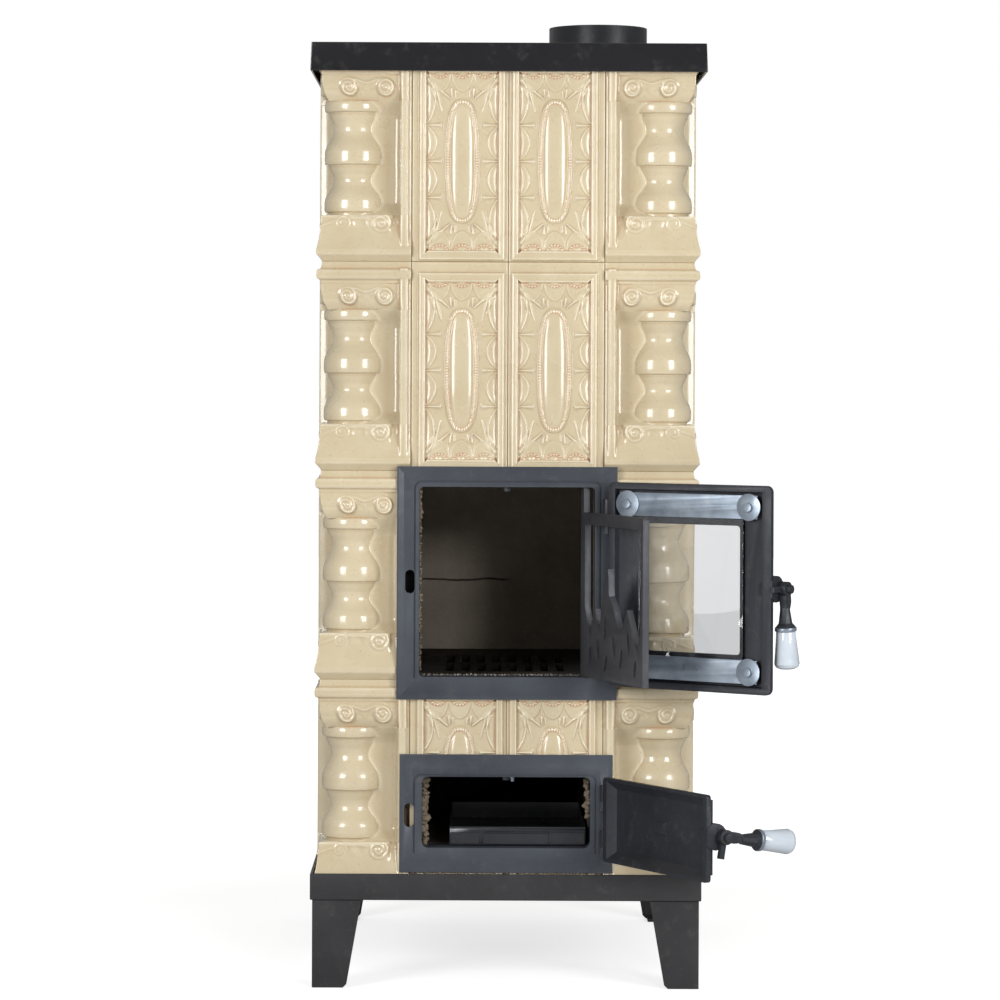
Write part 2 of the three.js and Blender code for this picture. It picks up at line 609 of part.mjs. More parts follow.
function doorKnuckles(door, edge) {
  const pieces = [];
  const bores = [];
  for (const foot of door.knuckles) {
    const [low, high] = [foot + door.knuckle + gap, foot + door.knuckle + door.mate];
    pieces.push(bar('z', hinge.radius, low, high, [door.axisX, hingeY], 12));
    pieces.push(box(edge - 2, door.axisX, hingeY - 4, hingeY + 4, low, high));
    bores.push(bar('z', hinge.pin + hinge.running, low - 1, high + 1, [door.axisX, hingeY], 10));
  }
  return { pieces, bores };
}

// A round lug on the free edge carries the latch lever's pin; it is flat towards the frame.
function lugFor(edge, level) {
  const disc = bar('x', lever.lugRadius, edge - lever.lug, edge + lever.lugDepth,
    [hingeY - lever.lugOut, level], 18);
  const rib = box(edge + 1, edge + 17, doorFront + 3, doorBack - 3, level - 6, level + 6);
  return cut(join(disc, rib), box(edge - 20, edge + 20, doorBack, doorBack + 40, level - 40, level + 40));
}
const pinRoom = (edge, level) =>
  bar('x', lever.rod + gap, edge - lever.lug - 1, edge + 4, [hingeY - lever.pivotOut, level], 10);

const fireGroup = hung(fireDoor);
const doorFront = doorBack - fireDoor.thickness;
const { seat: fireSeat } = fireFrame;
const webBack = doorFront + fireDoor.web;
const fireOutline = roundedRectangle(fireSeat.left, fireSeat.right, fireSeat.bottom, fireSeat.top, 7);
const { window: pane, rim, step } = fireDoor;
const recess = pad(fireSeat.left + rim.free, fireSeat.right - rim.hinged,
  fireSeat.bottom + rim.ends, fireSeat.top - rim.ends, webBack, doorBack + 1, -1);
const opening = panel(roundedRectangle(pane.left, pane.right, pane.bottom, pane.top, 4),
  doorFront - 9, webBack + 9, 2);
const outerFrame = pad(pane.left - 14, pane.right + 14, pane.bottom - 14, pane.top + 14,
  doorFront + 1, doorFront - 3, 3);
const fireBox = pad(fireSeat.left + step.free, fireSeat.right - step.hinged,
  fireSeat.bottom + step.ends, fireSeat.top - step.ends, doorBack, doorFront, 2.5);
const { screws } = fireDoor;
const glassBack = webBack + gap + fireDoor.glass.thickness;
const stripFront = glassBack + gap;
const stripBack = stripFront + fireDoor.strip.thickness;
const screwPoints = [['upper', 'left'], ['upper', 'right'], ['lower', 'left'], ['lower', 'right']];
const bosses = screwPoints.map(([row, hand]) =>
  bar('y', 7, webBack - 1, stripFront - gap, [screws[hand], screws[row]], 12));
const threads = screwPoints.map(([row, hand]) =>
  bar('y', washer.shank + gap, webBack - 3, stripFront, [screws[hand], screws[row]], 8));
const fireEars = doorKnuckles(fireDoor, fireSeat.right);
const fireLatch = fireFrame.slot.z;
const fireFlange = panel(fireOutline, doorBack - fireDoor.flange, doorBack, 3);
const fireSkin = cut(join(fireFlange, fireBox, outerFrame), recess, opening);
placeOn(fireGroup, 'fire_door', cut(join(fireSkin, ...bosses, ...fireEars.pieces,
  lugFor(fireSeat.left, fireLatch + 1)), ...threads, ...fireEars.bores,
pinRoom(fireSeat.left, fireLatch + 1)), castIron);

const { glass } = fireDoor;
placeOn(fireGroup, 'door_glass', box(pane.left - glass.lap, pane.right + glass.lap,
  webBack + gap, glassBack, pane.bottom - glass.lapUp, pane.top + glass.lapUp), windowGlass);

for (const row of ['upper', 'lower']) {
  const { strip } = fireDoor;
  const sheet = box(strip.left, strip.right, stripFront, stripBack,
    screws[row] - strip.height / 2, screws[row] + strip.height / 2);
  const holes = ['left', 'right'].map((hand) =>
    bar('y', strip.holeRadius, stripFront - 1, stripBack + 1, [screws[hand], screws[row]], 8));
  placeOn(fireGroup, `glass_strip_${row}`, cut(sheet, ...holes), zinc);
}
for (const [row, hand] of screwPoints) {
  const at = [screws[hand], screws[row]];
  const ringBack = stripBack + gap + washer.thickness;
  placeOn(fireGroup, `washer_screw_${row}_${hand}`, join(
    bar('y', washer.radius, stripBack + gap, ringBack, at, 20),
    bar('y', washer.head, ringBack - 0.2, ringBack + washer.headHeight, at, 10),
    bar('y', washer.shank, webBack - 2, ringBack, at, 8)), zinc);
}

// The ash door: a plate dished on the inside, with a raised field outside.
const ashGroup = hung(ashDoor);
const { seat: ashSeat } = ashFrame;
const ashSlab = join(panel(roundedRectangle(ashSeat.left, ashSeat.right, ashSeat.bottom, ashSeat.top, 4),
  doorBack - ashDoor.flange, doorBack, 2),
pad(ashSeat.left + ashDoor.step, ashSeat.right - 4, ashSeat.bottom + 4, ashSeat.top - 4,
  doorBack, doorFront, 2.5));
const dish = pad(ashSeat.left + 3 + ashDoor.bevel, ashSeat.right - 3 - ashDoor.bevel,
  ashSeat.bottom + 3 + ashDoor.bevel * 0.7, ashSeat.top - 3 - ashDoor.bevel * 0.7,
  doorBack - ashDoor.dish, doorBack + 0.5, -ashDoor.bevel * 0.7);
const field = pad(ashSeat.left + 16, ashSeat.right - 16, ashSeat.bottom + 14, ashSeat.top - 14,
  doorFront + 1, doorFront - 3, 5);
const stud = pad(-14, 2, ashFrame.slot.z - 8, ashFrame.slot.z + 8, doorBack - ashDoor.dish - 1,
  doorBack - ashDoor.dish + 2.5, 2);
const ashEars = doorKnuckles(ashDoor, ashSeat.right);
placeOn(ashGroup, 'ash_door', cut(join(cut(join(ashSlab, field), dish), stud, ...ashEars.pieces,
  lugFor(ashSeat.left, ashFrame.slot.z + 1)), ...ashEars.bores,
pinRoom(ashSeat.left, ashFrame.slot.z + 1)), castIron);

// ---------------------------------------------------------------- latch levers

// A lever hangs from a pin that runs along the door. Its nose reaches through the slot in the frame.
// Drawn about the pin: x along the pin, -y outwards, -z down the lever.
function latchLever(offset) {
  const { hub, thickness, arm, socket, flange, flangeHeight, rod, grip, ferrule } = lever;
  const side = thickness / 2;
  const reach = new THREE.Shape();
  reach.moveTo(-5, -6);
  reach.bezierCurveTo(-6, -13, -offset - 8, -15, -offset - 4, -arm - 2);
  reach.lineTo(-offset + 4, -arm - 2);
  reach.bezierCurveTo(-offset + 3, -15, 7, -13, 6, -6);
  const curve = new THREE.ExtrudeGeometry(reach, { depth: 8, bevelEnabled: false, curveSegments: 5 });
  curve.rotateX(Math.PI / 2).rotateZ(Math.PI / 2).translate(-4, 0, 0);
  const down = (geometry) => geometry.rotateX(Math.PI / 2);
  const length = (top, bottom) => -(top + bottom) / 2;
  const cone = down(new THREE.CylinderGeometry(lever.socketEnd, lever.socketTop, socket, 10));
  cone.rotateX(Math.PI).translate(0, -offset, length(arm, arm + socket));
  const bell = down(new THREE.CylinderGeometry(flange, lever.socketEnd, flangeHeight, 14));
  bell.rotateX(Math.PI).translate(0, -offset, length(arm + socket, arm + socket + flangeHeight) + 0.05);
  const shoulder = arm + socket + flangeHeight;
  const shank = bar('z', rod, -shoulder - ferrule.height - grip.boreDepth + 3, -shoulder + 1,
    [0, -offset], 8);
  const hanging = join(curve, cone, bell, shank).rotateX(-rad(lever.tilt));
  const boss = bar('x', hub, -side, side, [0, 0], 18);
  const nose = box(side - lever.noseThickness, side, 4, lever.nose, -lever.noseHeight / 2,
    lever.noseHeight / 2);
  const pin = bar('x', rod, -side - 2, side + gap + lever.lug + 3.5, [0, 0], 10);
  const head = bar('x', lever.pinHead, -side - lever.headHeight, -side + 1, [0, 0], 12);
  return { iron: join(boss, nose, pin, head, hanging), shoulder };
}

function gripPieces(offset, shoulder) {
  const { grip, ferrule, rod } = lever;
  const top = shoulder + gap;
  const ring = cut(bar('z', ferrule.radius, -top - ferrule.height, -top, [0, -offset], 20),
    bar('z', rod + gap, -top - ferrule.height - 1, -top + 1, [0, -offset], 8));
  const start = top + ferrule.height + gap;
  const curve = [
    [0, 0], [grip.top, 0], [grip.top + 0.9, grip.length * 0.3], [grip.end - 0.5, grip.length * 0.75],
    [grip.end, grip.length - 5], [grip.end - 1.6, grip.length - 1.6], [grip.end - 5, grip.length],
    [0, grip.length],
  ].map(([radius, along_]) => new THREE.Vector2(radius, -along_));
  const sleeve = new THREE.LatheGeometry(curve, 18).rotateX(Math.PI / 2).translate(0, -offset, -start);
  const bored = cut(sleeve, bar('z', grip.bore, -start - grip.boreDepth, -start + 1, [0, -offset], 8));
  return { ring: ring.rotateX(-rad(lever.tilt)), sleeve: bored.rotateX(-rad(lever.tilt)) };
}

function addLever(name, group, door, frame, raised) {
  const pivot = new THREE.Group();
  const edge = frame.seat.left - lever.lug - gap;
  pivot.position.set(edge - lever.thickness / 2 - door.axisX, -lever.pivotOut, frame.slot.z + 1);
  pivot.rotation.x = -rad(raised);
  group.add(pivot);
  const { iron, shoulder } = latchLever(gripOffset);
  const { ring, sleeve } = gripPieces(gripOffset, shoulder);
  place(`${name}_latch_lever`, iron, castIron, pivot);
  place(`${name}_grip_ferrule`, ring, zinc, pivot);
  place(`${name}_porcelain_grip`, sleeve, porcelain, pivot);
}
addLever('fire', fireGroup, fireDoor, fireFrame, leverRaised.fire);
addLever('ash', ashGroup, ashDoor, ashFrame, leverRaised.ash);

// ---------------------------------------------------------------- flame guard

// The guard is drawn shut, hinge edge at x = 0 and running to -x, foot at z = 0, then swung open.
function flameGuard() {
  const { width, height, stile, bar: topBar, freeBar, thickness } = guard;
  const outline = new THREE.Shape();
  outline.moveTo(-width, 0);
  outline.lineTo(stile / 2, 0);
  outline.lineTo(stile / 2, height);
  outline.lineTo(-width + 6, height);
  outline.quadraticCurveTo(-width, height, -width, height - 6);
  // The open upper part, bounded below by the tongues of the flames.
  const sky = new THREE.Path();
  const inner = -stile / 2 - 4;
  sky.moveTo(inner, height - topBar);
  sky.lineTo(inner, 78);
  sky.bezierCurveTo(-14, 62, -20, 48, -24, 44);
  sky.bezierCurveTo(-24, 58, -30, 68, -36, 76);
  sky.bezierCurveTo(-42, 60, -44, 54, -50, 52);
  sky.bezierCurveTo(-52, 78, -60, 98, -72, 121);
  sky.bezierCurveTo(-78, 100, -70, 92, -80, 88);
  sky.bezierCurveTo(-92, 82, -92, 60, -106, 56);
  sky.bezierCurveTo(-112, 58, -116, 68, -124, 80);
  sky.bezierCurveTo(-136, 62, -142, 46, -150, 40);
  sky.bezierCurveTo(-156, 46, -160, 56, -width + freeBar, 66);
  sky.lineTo(-width + freeBar, height - topBar);
  outline.holes.push(sky);
  // Draught slots between the logs, leaning like the flames.
  const slots = [[-22, 24, 3, 11, 8], [-44, 32, 3.2, 12, -10], [-64, 56, 3.4, 14, 6], [-66, 18, 3, 10, 20],
    [-88, 38, 3.4, 13, -12], [-108, 26, 3.2, 12, 14], [-128, 44, 3.2, 13, -8], [-146, 18, 3, 10, 12]];
  for (const [x, z, wide, tall, lean] of slots) {
    const hole = new THREE.Path();
    hole.absellipse(x, z, wide, tall, 0, 2 * Math.PI, true, rad(lean));
    outline.holes.push(hole);
  }
  const sheet = panel(outline, -thickness / 2, thickness / 2, 4);
  // Hinge stile: runs the full height of the doorway and ends in two pins.
  const { opening: way } = fireFrame;
  const [low, high] = [way.bottom + gap - guard.bottom, way.top - gap - guard.bottom];
  const rod = box(-stile / 2, stile / 2, -thickness / 2, thickness / 2, low, high);
  const pins = bar('z', guard.pin, low - guard.pinLength, high + guard.pinLength, [0, 0], 10);
  // Logs in relief across the lower half.
  const logs = [[-38, 16, 26], [-86, 20, 30], [-130, 16, 26]].map(([x, z, reachX]) => {
    const log = new THREE.SphereGeometry(1, 10, 6).rotateZ(Math.PI / 2);
    return log.scale(reachX, 2.5, 7).translate(x, -thickness / 2, z);
  });
  return join(sheet, rod, pins, ...logs);
}
const guardGroup = new THREE.Group();
guardGroup.position.set(guard.axisX, guard.axisY, guard.bottom);
guardGroup.rotation.z = rad(guard.open);
stove.add(guardGroup);
place('flame_guard', flameGuard(), guardIron, guardGroup);

// ---------------------------------------------------------------- ash drawer

const drawerFloor = chamber.floor + gap;
const drawerBack = drawer.front + drawer.length;
const pan = cut(
  box(drawer.left, drawer.right, drawer.front, drawerBack, drawerFloor, drawerFloor + drawer.height),
  box(drawer.left + drawer.sheet, drawer.right - drawer.sheet, drawer.front + drawer.sheet,
    drawerBack - drawer.sheet, drawerFloor + drawer.sheet, drawerFloor + drawer.height + 1));
const middle = (drawer.left + drawer.right) / 2;
const pull = box(middle - drawer.pull / 2, middle + drawer.pull / 2, drawer.front - 4, drawer.front + 0.5,
  drawerFloor + drawer.height - 7, drawerFloor + drawer.height - 5.5);
place('ash_drawer', join(pan, pull), sheetBlack);

export default stove;
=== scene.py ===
"""Looks for a portable tiled stove: glazed relief tiles, cast doors, clay lining and porcelain grips.

Lengths in the shape code are millimetres in the row's frame and become metres when a mesh is made.
"""
import math

import bmesh
import bpy
import numpy as np
from mathutils import Matrix, Vector


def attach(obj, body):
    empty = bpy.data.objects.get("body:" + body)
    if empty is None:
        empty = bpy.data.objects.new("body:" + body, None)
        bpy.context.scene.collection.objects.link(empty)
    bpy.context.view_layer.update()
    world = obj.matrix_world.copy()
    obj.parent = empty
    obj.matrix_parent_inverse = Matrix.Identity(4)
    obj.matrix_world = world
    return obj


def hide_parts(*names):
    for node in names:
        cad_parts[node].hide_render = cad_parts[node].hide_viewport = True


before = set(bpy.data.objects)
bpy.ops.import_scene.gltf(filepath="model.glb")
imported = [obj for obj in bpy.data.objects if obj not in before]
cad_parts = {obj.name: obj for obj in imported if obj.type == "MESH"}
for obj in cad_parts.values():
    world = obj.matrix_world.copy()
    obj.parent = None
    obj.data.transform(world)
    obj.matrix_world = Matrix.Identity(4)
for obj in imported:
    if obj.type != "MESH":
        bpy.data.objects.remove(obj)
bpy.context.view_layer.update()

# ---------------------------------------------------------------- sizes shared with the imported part, in mm

HALF_X, HALF_Y = 206.0, 261.0      # half the width and depth of the tiled body
PITCH, BED = 230.0, 108.0          # height of a course, and of the lowest course's bed
CORNER_LEG = 99.7                  # length of a corner tile along either face
SIDE_WIDTH = (2 * HALF_Y - 2 * CORNER_LEG) / 3
FRONT_TILE_AT = 51.05              # the ornament's middle on the front's and back's flat tiles
TILE_GAP, BED_GAP = 0.15, 0.1      # what a tile leaves free beside its joints and at its beds
FIRE_FRAME = dict(half=121.0, low=317.0, high=573.0, opening=96.3, sill=342.0, lintel=550.6)
ASH_FRAME = dict(half=117.0, low=126.8, high=256.7, opening=92.5, sill=154.5, lintel=232.5)
SLOTS = ((-106.5, 446.5), (-106.5, 190.0))      # middles of the two latch slots, x and z

# ---------------------------------------------------------------- stage values

FLOOR_GLOW = 0.72                  # the floor's own light near the stove, where 1 is white
THROUGH_GLASS = 0.58               # share of it that shows through the door's glass
SKY_THROUGH_GLASS = 0.45           # the same for the backdrop
WORLD_LIGHT = 0.32
SOFTBOX_ANGLE, SOFTBOX_POWER = 38.0, 45.0
LAMP_DISTANCE = 3.0
CAMERA_PLACE = (-0.0372, -4.441, 0.6856)
CAMERA_ROLL = -0.25
CAMERA_LENS = 136.8
CAMERA_SHIFT = (0.026, -0.136)


# ---------------------------------------------------------------- small helpers

def srgb(r, g, b):
    """Colour as seen on screen, 0..255, to the linear value that a shader takes."""
    def channel(c):
        c /= 255.0
        return c / 12.92 if c <= 0.04045 else ((c + 0.055) / 1.055) ** 2.4
    return (channel(r), channel(g), channel(b), 1.0)


def ss(x, low, high):
    """Smooth step of x from 0 at low to 1 at high."""
    t = np.clip((x - low) / (high - low), 0.0, 1.0)
    return t * t * (3.0 - 2.0 * t)


def bell(x, width):
    """exp(-(x / width)^2): 1 at x = 0, 0.37 at the width."""
    return np.exp(-(x / width) ** 2)


def smooth_curve(x, xs, ys):
    """Monotone cubic through (xs, ys): Hermite pieces whose slopes are the harmonic mean of their neighbours'."""
    xs, ys = np.asarray(xs, float), np.asarray(ys, float)
    step, rise = np.diff(xs), np.diff(ys) / np.diff(xs)
    same = rise[:-1] * rise[1:] > 0
    slope = np.zeros(len(xs))
    both = np.where(same, rise[:-1] + rise[1:], 1.0)
    slope[1:-1] = np.where(same, 2.0 * rise[:-1] * rise[1:] / both, 0.0)
    i = np.clip(np.searchsorted(xs, x) - 1, 0, len(xs) - 2)
    t = np.clip((x - xs[i]) / step[i], 0.0, 1.0)
    return (ys[i] * (1 + 2 * t) * (1 - t) ** 2 + ys[i + 1] * t * t * (3 - 2 * t)
            + step[i] * (slope[i] * t * (1 - t) ** 2 - slope[i + 1] * t * t * (1 - t)))


def linked(name, mesh):
    """An object of the scene that shows the mesh."""
    obj = bpy.data.objects.new(name, mesh)
    bpy.context.scene.collection.objects.link(obj)
    return obj


def sheet(name, points, tone, material, body, keep=None, flip=False):
    """A grid surface: points is rows x columns x 3 in mm, tone one value per point for the glaze."""
    rows, columns = points.shape[:2]
    index = np.arange(rows * columns).reshape(rows, columns)
    quads = np.stack([index[:-1, :-1], index[:-1, 1:], index[1:, 1:], index[1:, :-1]], axis=-1)
    if flip:
        quads = quads[..., ::-1]
    if keep is not None:
        quads = quads[keep]
    quads = quads.reshape(-1, 4)
    mesh = bpy.data.meshes.new(name)
    mesh.vertices.add(rows * columns)
    mesh.vertices.foreach_set("co", (points.reshape(-1, 3) * 0.001).astype(np.float32).ravel())
    mesh.loops.add(quads.size)
    mesh.loops.foreach_set("vertex_index", quads.astype(np.int32).ravel())
    mesh.polygons.add(len(quads))
    mesh.polygons.foreach_set("loop_start", np.arange(0, quads.size, 4, dtype=np.int32))
    mesh.update(calc_edges=True)
    attribute = mesh.attributes.new("tone", "FLOAT", "POINT")
    attribute.data.foreach_set("value", tone.reshape(-1).astype(np.float32))
    mesh.shade_smooth()
    mesh.materials.append(material)
    obj = linked(name, mesh)
    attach(obj, body)
    return obj


def blurred(field, cells):
    """Mean over a square of 2*cells+1 grid steps, by running sums along both axes."""
    out = field
    for axis in (0, 1):
        pad = [(0, 0), (0, 0)]
        pad[axis] = (cells + 1, cells)
        total = np.cumsum(np.pad(out, pad, mode="edge"), axis=axis)
        size = 2 * cells + 1
        upper = np.take(total, range(size, total.shape[axis]), axis=axis)
        lower = np.take(total, range(0, total.shape[axis] - size), axis=axis)
        out = (upper - lower) / size
    return out


# ---------------------------------------------------------------- shader helpers

def add(tree, kind, inputs=None, **props):
    node = tree.nodes.new(kind)
    for key, value in props.items():
        setattr(node, key, value)
    for key, value in (inputs or {}).items():
        if isinstance(value, bpy.types.NodeSocket):
            tree.links.new(value, node.inputs[key])
        else:
            node.inputs[key].default_value = value
    return node


def ramp(tree, factor, stops):
    node = add(tree, "ShaderNodeValToRGB", {"Fac": factor})
    elements = node.color_ramp.elements
    while len(elements) < len(stops):
        elements.new(0.5)
    for element, (position, colour) in zip(elements, stops):
        element.position = position
        element.color = colour
    return node.outputs["Color"]


def mix(tree, factor, a, b, blend="MIX"):
    node = add(tree, "ShaderNodeMix", data_type="RGBA", blend_type=blend)
    for socket, value in ((node.inputs[0], factor), (node.inputs[6], a), (node.inputs[7], b)):
        if isinstance(value, bpy.types.NodeSocket):
            tree.links.new(value, socket)
        else:
            socket.default_value = value
    return node.outputs[2]


def spread(tree, value, low, high, out_low, out_high):
    node = add(tree, "ShaderNodeMapRange", {0: value, 1: low, 2: high, 3: out_low, 4: out_high})
    return node.outputs[0]


def noise_group():
    """Shared surface noise in object coordinates: Scale, Detail and Roughness in, Value out."""
    tree = bpy.data.node_groups.new("surface_noise", "ShaderNodeTree")
    for name, default in (("Scale", 20.0), ("Detail", 4.0), ("Roughness", 0.5)):
        socket = tree.interface.new_socket(name, in_out="INPUT", socket_type="NodeSocketFloat")
        socket.default_value = default
    tree.interface.new_socket("Value", in_out="OUTPUT", socket_type="NodeSocketFloat")
    source = tree.nodes.new("NodeGroupInput")
    sink = tree.nodes.new("NodeGroupOutput")
    place = add(tree, "ShaderNodeTexCoord")
    noise = add(tree, "ShaderNodeTexNoise", {
        "Vector": place.outputs["Object"], "Scale": source.outputs["Scale"],
        "Detail": source.outputs["Detail"], "Roughness": source.outputs["Roughness"]})
    tree.links.new(noise.outputs["Fac"], sink.inputs["Value"])
    return tree


NOISE = noise_group()


def noise(tree, scale, detail=4.0, roughness=0.5):
    node = tree.nodes.new("ShaderNodeGroup")
    node.node_tree = NOISE
    node.inputs["Scale"].default_value = scale
    node.inputs["Detail"].default_value = detail
    node.inputs["Roughness"].default_value = roughness
    return node.outputs["Value"]


def bump(tree, height, distance, strength=1.0, after=None):
    inputs = {"Height": height, "Distance": distance, "Strength": strength}
    if after is not None:
        inputs["Normal"] = after
    return add(tree, "ShaderNodeBump", inputs).outputs["Normal"]


def material(name, build, **sockets):
    """A material whose build function gets the node tree and the Principled shader."""
    made = bpy.data.materials.new(name)
    made.use_nodes = True
    tree = made.node_tree
    shader = tree.nodes["Principled BSDF"]
    for key, value in sockets.items():
        shader.inputs[key.replace("_", " ")].default_value = value
    build(tree, shader)
    return made


def link(tree, shader, **sockets):
    for key, value in sockets.items():
        tree.links.new(value, shader.inputs[key.replace("_", " ")])


# ---------------------------------------------------------------- materials

def build_glaze(tree, shader):
    """Cream glaze: tone 0 is a groove where the clay shines through, darkened there also as painted shade; 1 a high
    ridge, lightened partly as painted highlight.
    """
    tone = add(tree, "ShaderNodeAttribute", attribute_name="tone").outputs["Fac"]
    wobble = spread(tree, noise(tree, 30.0, 5.0), 0.3, 0.7, -0.07, 0.07)
    total = add(tree, "ShaderNodeMath", {0: tone, 1: wobble}, operation="ADD").outputs[0]
    base = ramp(tree, total, [
        (0.0, srgb(176, 116, 88)), (0.22, srgb(184, 142, 112)), (0.42, srgb(184, 165, 133)),
        (0.6, srgb(189, 175, 145)), (0.8, srgb(200, 187, 159)), (1.0, srgb(222, 211, 186))])
    cloud = spread(tree, noise(tree, 4.0, 3.0), 0.3, 0.7, 0.94, 1.05)
    warm = add(tree, "ShaderNodeHueSaturation", {"Color": base, "Value": cloud}).outputs[0]
    specks = spread(tree, noise(tree, 420.0, 2.0), 0.66, 0.72, 0.0, 0.35)
    colour = mix(tree, specks, warm, srgb(160, 120, 80))
    ripple = bump(tree, noise(tree, 70.0, 2.0), 0.0006, 0.35)
    link(tree, shader, Base_Color=colour, Normal=ripple,
         Roughness=spread(tree, noise(tree, 25.0), 0.3, 0.7, 0.22, 0.34))


def build_iron(dark, light, grain=0.0004, rough=(0.38, 0.55)):
    """Cast, painted or sooty surface: clouds between two colours, a little dust and a grainy skin."""
    def build(tree, shader):
        cloud = noise(tree, 9.0, 6.0, 0.6)
        colour = ramp(tree, cloud, [(0.3, dark), (0.7, light)])
        dust = spread(tree, noise(tree, 60.0, 6.0, 0.7), 0.55, 0.75, 0.0, 0.18)
        colour = mix(tree, dust, colour, srgb(120, 112, 104))
        surface = bump(tree, noise(tree, 700.0, 3.0), grain, 0.5)
        surface = bump(tree, noise(tree, 90.0, 4.0), grain * 1.5, 0.35, surface)
        link(tree, shader, Base_Color=colour, Normal=surface,
             Roughness=spread(tree, noise(tree, 40.0, 5.0), 0.3, 0.7, *rough))
    return build


JOINT_LEVEL = 0.4237               # metres above the floor


def brick_joint(tree, colour):
    """A dark open joint in the back wall's plate, at one height and across its left half."""
    place = add(tree, "ShaderNodeSeparateXYZ", {0: add(tree, "ShaderNodeTexCoord").outputs["Object"]})
    drift = spread(tree, noise(tree, 25.0, 2.0), 0.0, 1.0, -0.003, 0.003)
    level = add(tree, "ShaderNodeMath", {0: place.outputs["Z"], 1: drift}, operation="ADD").outputs[0]
    off = add(tree, "ShaderNodeMath", {0: level, 1: JOINT_LEVEL}, operation="SUBTRACT").outputs[0]
    away = add(tree, "ShaderNodeMath", {0: off}, operation="ABSOLUTE").outputs[0]
    line = spread(tree, away, 0.0006, 0.0016, 0.9, 0.0)
    end = spread(tree, place.outputs["X"], 0.0, 0.012, 1.0, 0.0)
    deep = spread(tree, place.outputs["Y"], 0.17, 0.18, 0.0, 1.0)
    across = add(tree, "ShaderNodeMath", {0: line, 1: end}, operation="MULTIPLY").outputs[0]
    both = add(tree, "ShaderNodeMath", {0: across, 1: deep}, operation="MULTIPLY").outputs[0]
    return mix(tree, both, colour, srgb(30, 24, 20))


def build_clay(tree, shader):
    """Fireclay brick: grainy and patchy, with pale grog and one dark joint on the back wall."""
    grain = noise(tree, 160.0, 8.0, 0.7)
    patches = noise(tree, 12.0, 5.0, 0.6)
    base = ramp(tree, patches, [
        (0.25, srgb(146, 138, 126)), (0.55, srgb(166, 157, 144)), (0.8, srgb(180, 171, 158))])
    grog = spread(tree, noise(tree, 330.0, 2.0), 0.6, 0.7, 0.0, 0.25)
    colour = mix(tree, grog, base, srgb(196, 186, 170))
    colour = brick_joint(tree, colour)
    surface = bump(tree, grain, 0.002, 0.6)
    surface = bump(tree, noise(tree, 30.0, 4.0), 0.004, 0.4, surface)
    link(tree, shader, Base_Color=colour, Normal=surface)


def build_zinc(tree, shader):
    """Zinc plating: a cool bright metal with cloudy passivation and fine rolling marks."""
    colour = ramp(tree, noise(tree, 45.0, 5.0), [
        (0.3, srgb(120, 130, 142)), (0.55, srgb(138, 149, 161)), (0.8, srgb(158, 166, 174))])
    place = add(tree, "ShaderNodeTexCoord")
    stretched = add(tree, "ShaderNodeMapping", {"Vector": place.outputs["Object"], "Scale": (30.0, 30.0, 900.0)})
    lines = add(tree, "ShaderNodeTexNoise", {"Vector": stretched.outputs[0], "Scale": 1.0, "Detail": 3.0})
    link(tree, shader, Base_Color=colour, Normal=bump(tree, lines.outputs["Fac"], 0.0002, 0.3),
         Roughness=spread(tree, noise(tree, 60.0), 0.3, 0.7, 0.25, 0.42))


def build_porcelain(tree, shader):
    colour = ramp(tree, noise(tree, 12.0, 3.0), [(0.3, srgb(184, 193, 202)), (0.7, srgb(198, 206, 214))])
    link(tree, shader, Base_Color=colour, Normal=bump(tree, noise(tree, 80.0, 2.0), 0.0003, 0.2))


def build_glass(tree, shader):
    haze = spread(tree, noise(tree, 14.0, 5.0), 0.4, 0.8, 0.0, 0.06)
    link(tree, shader, Roughness=haze)


GLAZE = material("cream_glaze", build_glaze, Coat_Weight=0.7, Coat_Roughness=0.09, Specular_IOR_Level=0.5)
IRON = material("blue_grey_iron", build_iron(srgb(54, 58, 65), srgb(70, 75, 83)), Metallic=0.25)
# darker copy of the frames' iron for the doors and latch levers: partly a more neutral paint, partly painted shade, as
# the open doors face away from the lights
DOOR_IRON = material("door_iron", build_iron(srgb(34, 36, 42), srgb(47, 49, 56)), Metallic=0.25)
GUARD_IRON = material("guard_iron", build_iron(srgb(56, 57, 61), srgb(76, 77, 82), 0.0007), Metallic=0.35)
PLATE_BLACK = material("plate_black", build_iron(srgb(20, 20, 24), srgb(27, 27, 32), 0.0001, (0.1, 0.16)),
                       Metallic=0.2, Coat_Weight=0.5, Coat_Roughness=0.08)
TRAY_PAINT = material("tray_paint", build_iron(srgb(43, 43, 45), srgb(56, 56, 58), 0.0002, (0.26, 0.4)),
                      Metallic=0.2)
PIPE_PAINT = material("pipe_paint", build_iron(srgb(34, 35, 39), srgb(48, 49, 54), 0.0002, (0.3, 0.42)),
                      Metallic=0.2)
DRAWER_PAINT = material("drawer_steel", build_iron(srgb(40, 41, 45), srgb(58, 59, 64), 0.0002, (0.16, 0.28)),
                        Metallic=0.4)
CLAY = material("fireclay", build_clay, Roughness=0.92)
SOOTY_CLAY = material("sooty_clay", build_iron(srgb(42, 36, 31), srgb(66, 57, 49), 0.002, (0.85, 0.95)))
RAW_CLAY = material("raw_clay", build_iron(srgb(96, 84, 70), srgb(142, 128, 110), 0.002, (0.85, 0.95)))
SOOTY_IRON = material("sooty_iron", build_iron(srgb(22, 20, 19), srgb(36, 33, 31), 0.0006, (0.6, 0.8)))
ASH_GREY = material("ash_grey", build_iron(srgb(110, 104, 98), srgb(156, 150, 142), 0.001, (0.85, 0.95)))
ZINC = material("zinc", build_zinc, Metallic=0.6)
PORCELAIN = material("porcelain", build_porcelain, Roughness=0.12, Coat_Weight=0.5)
WINDOW = material("window_glass", build_glass, Base_Color=srgb(252, 253, 255), Transmission_Weight=1.0, IOR=1.45)


# ---------------------------------------------------------------- ornament of the flat tile

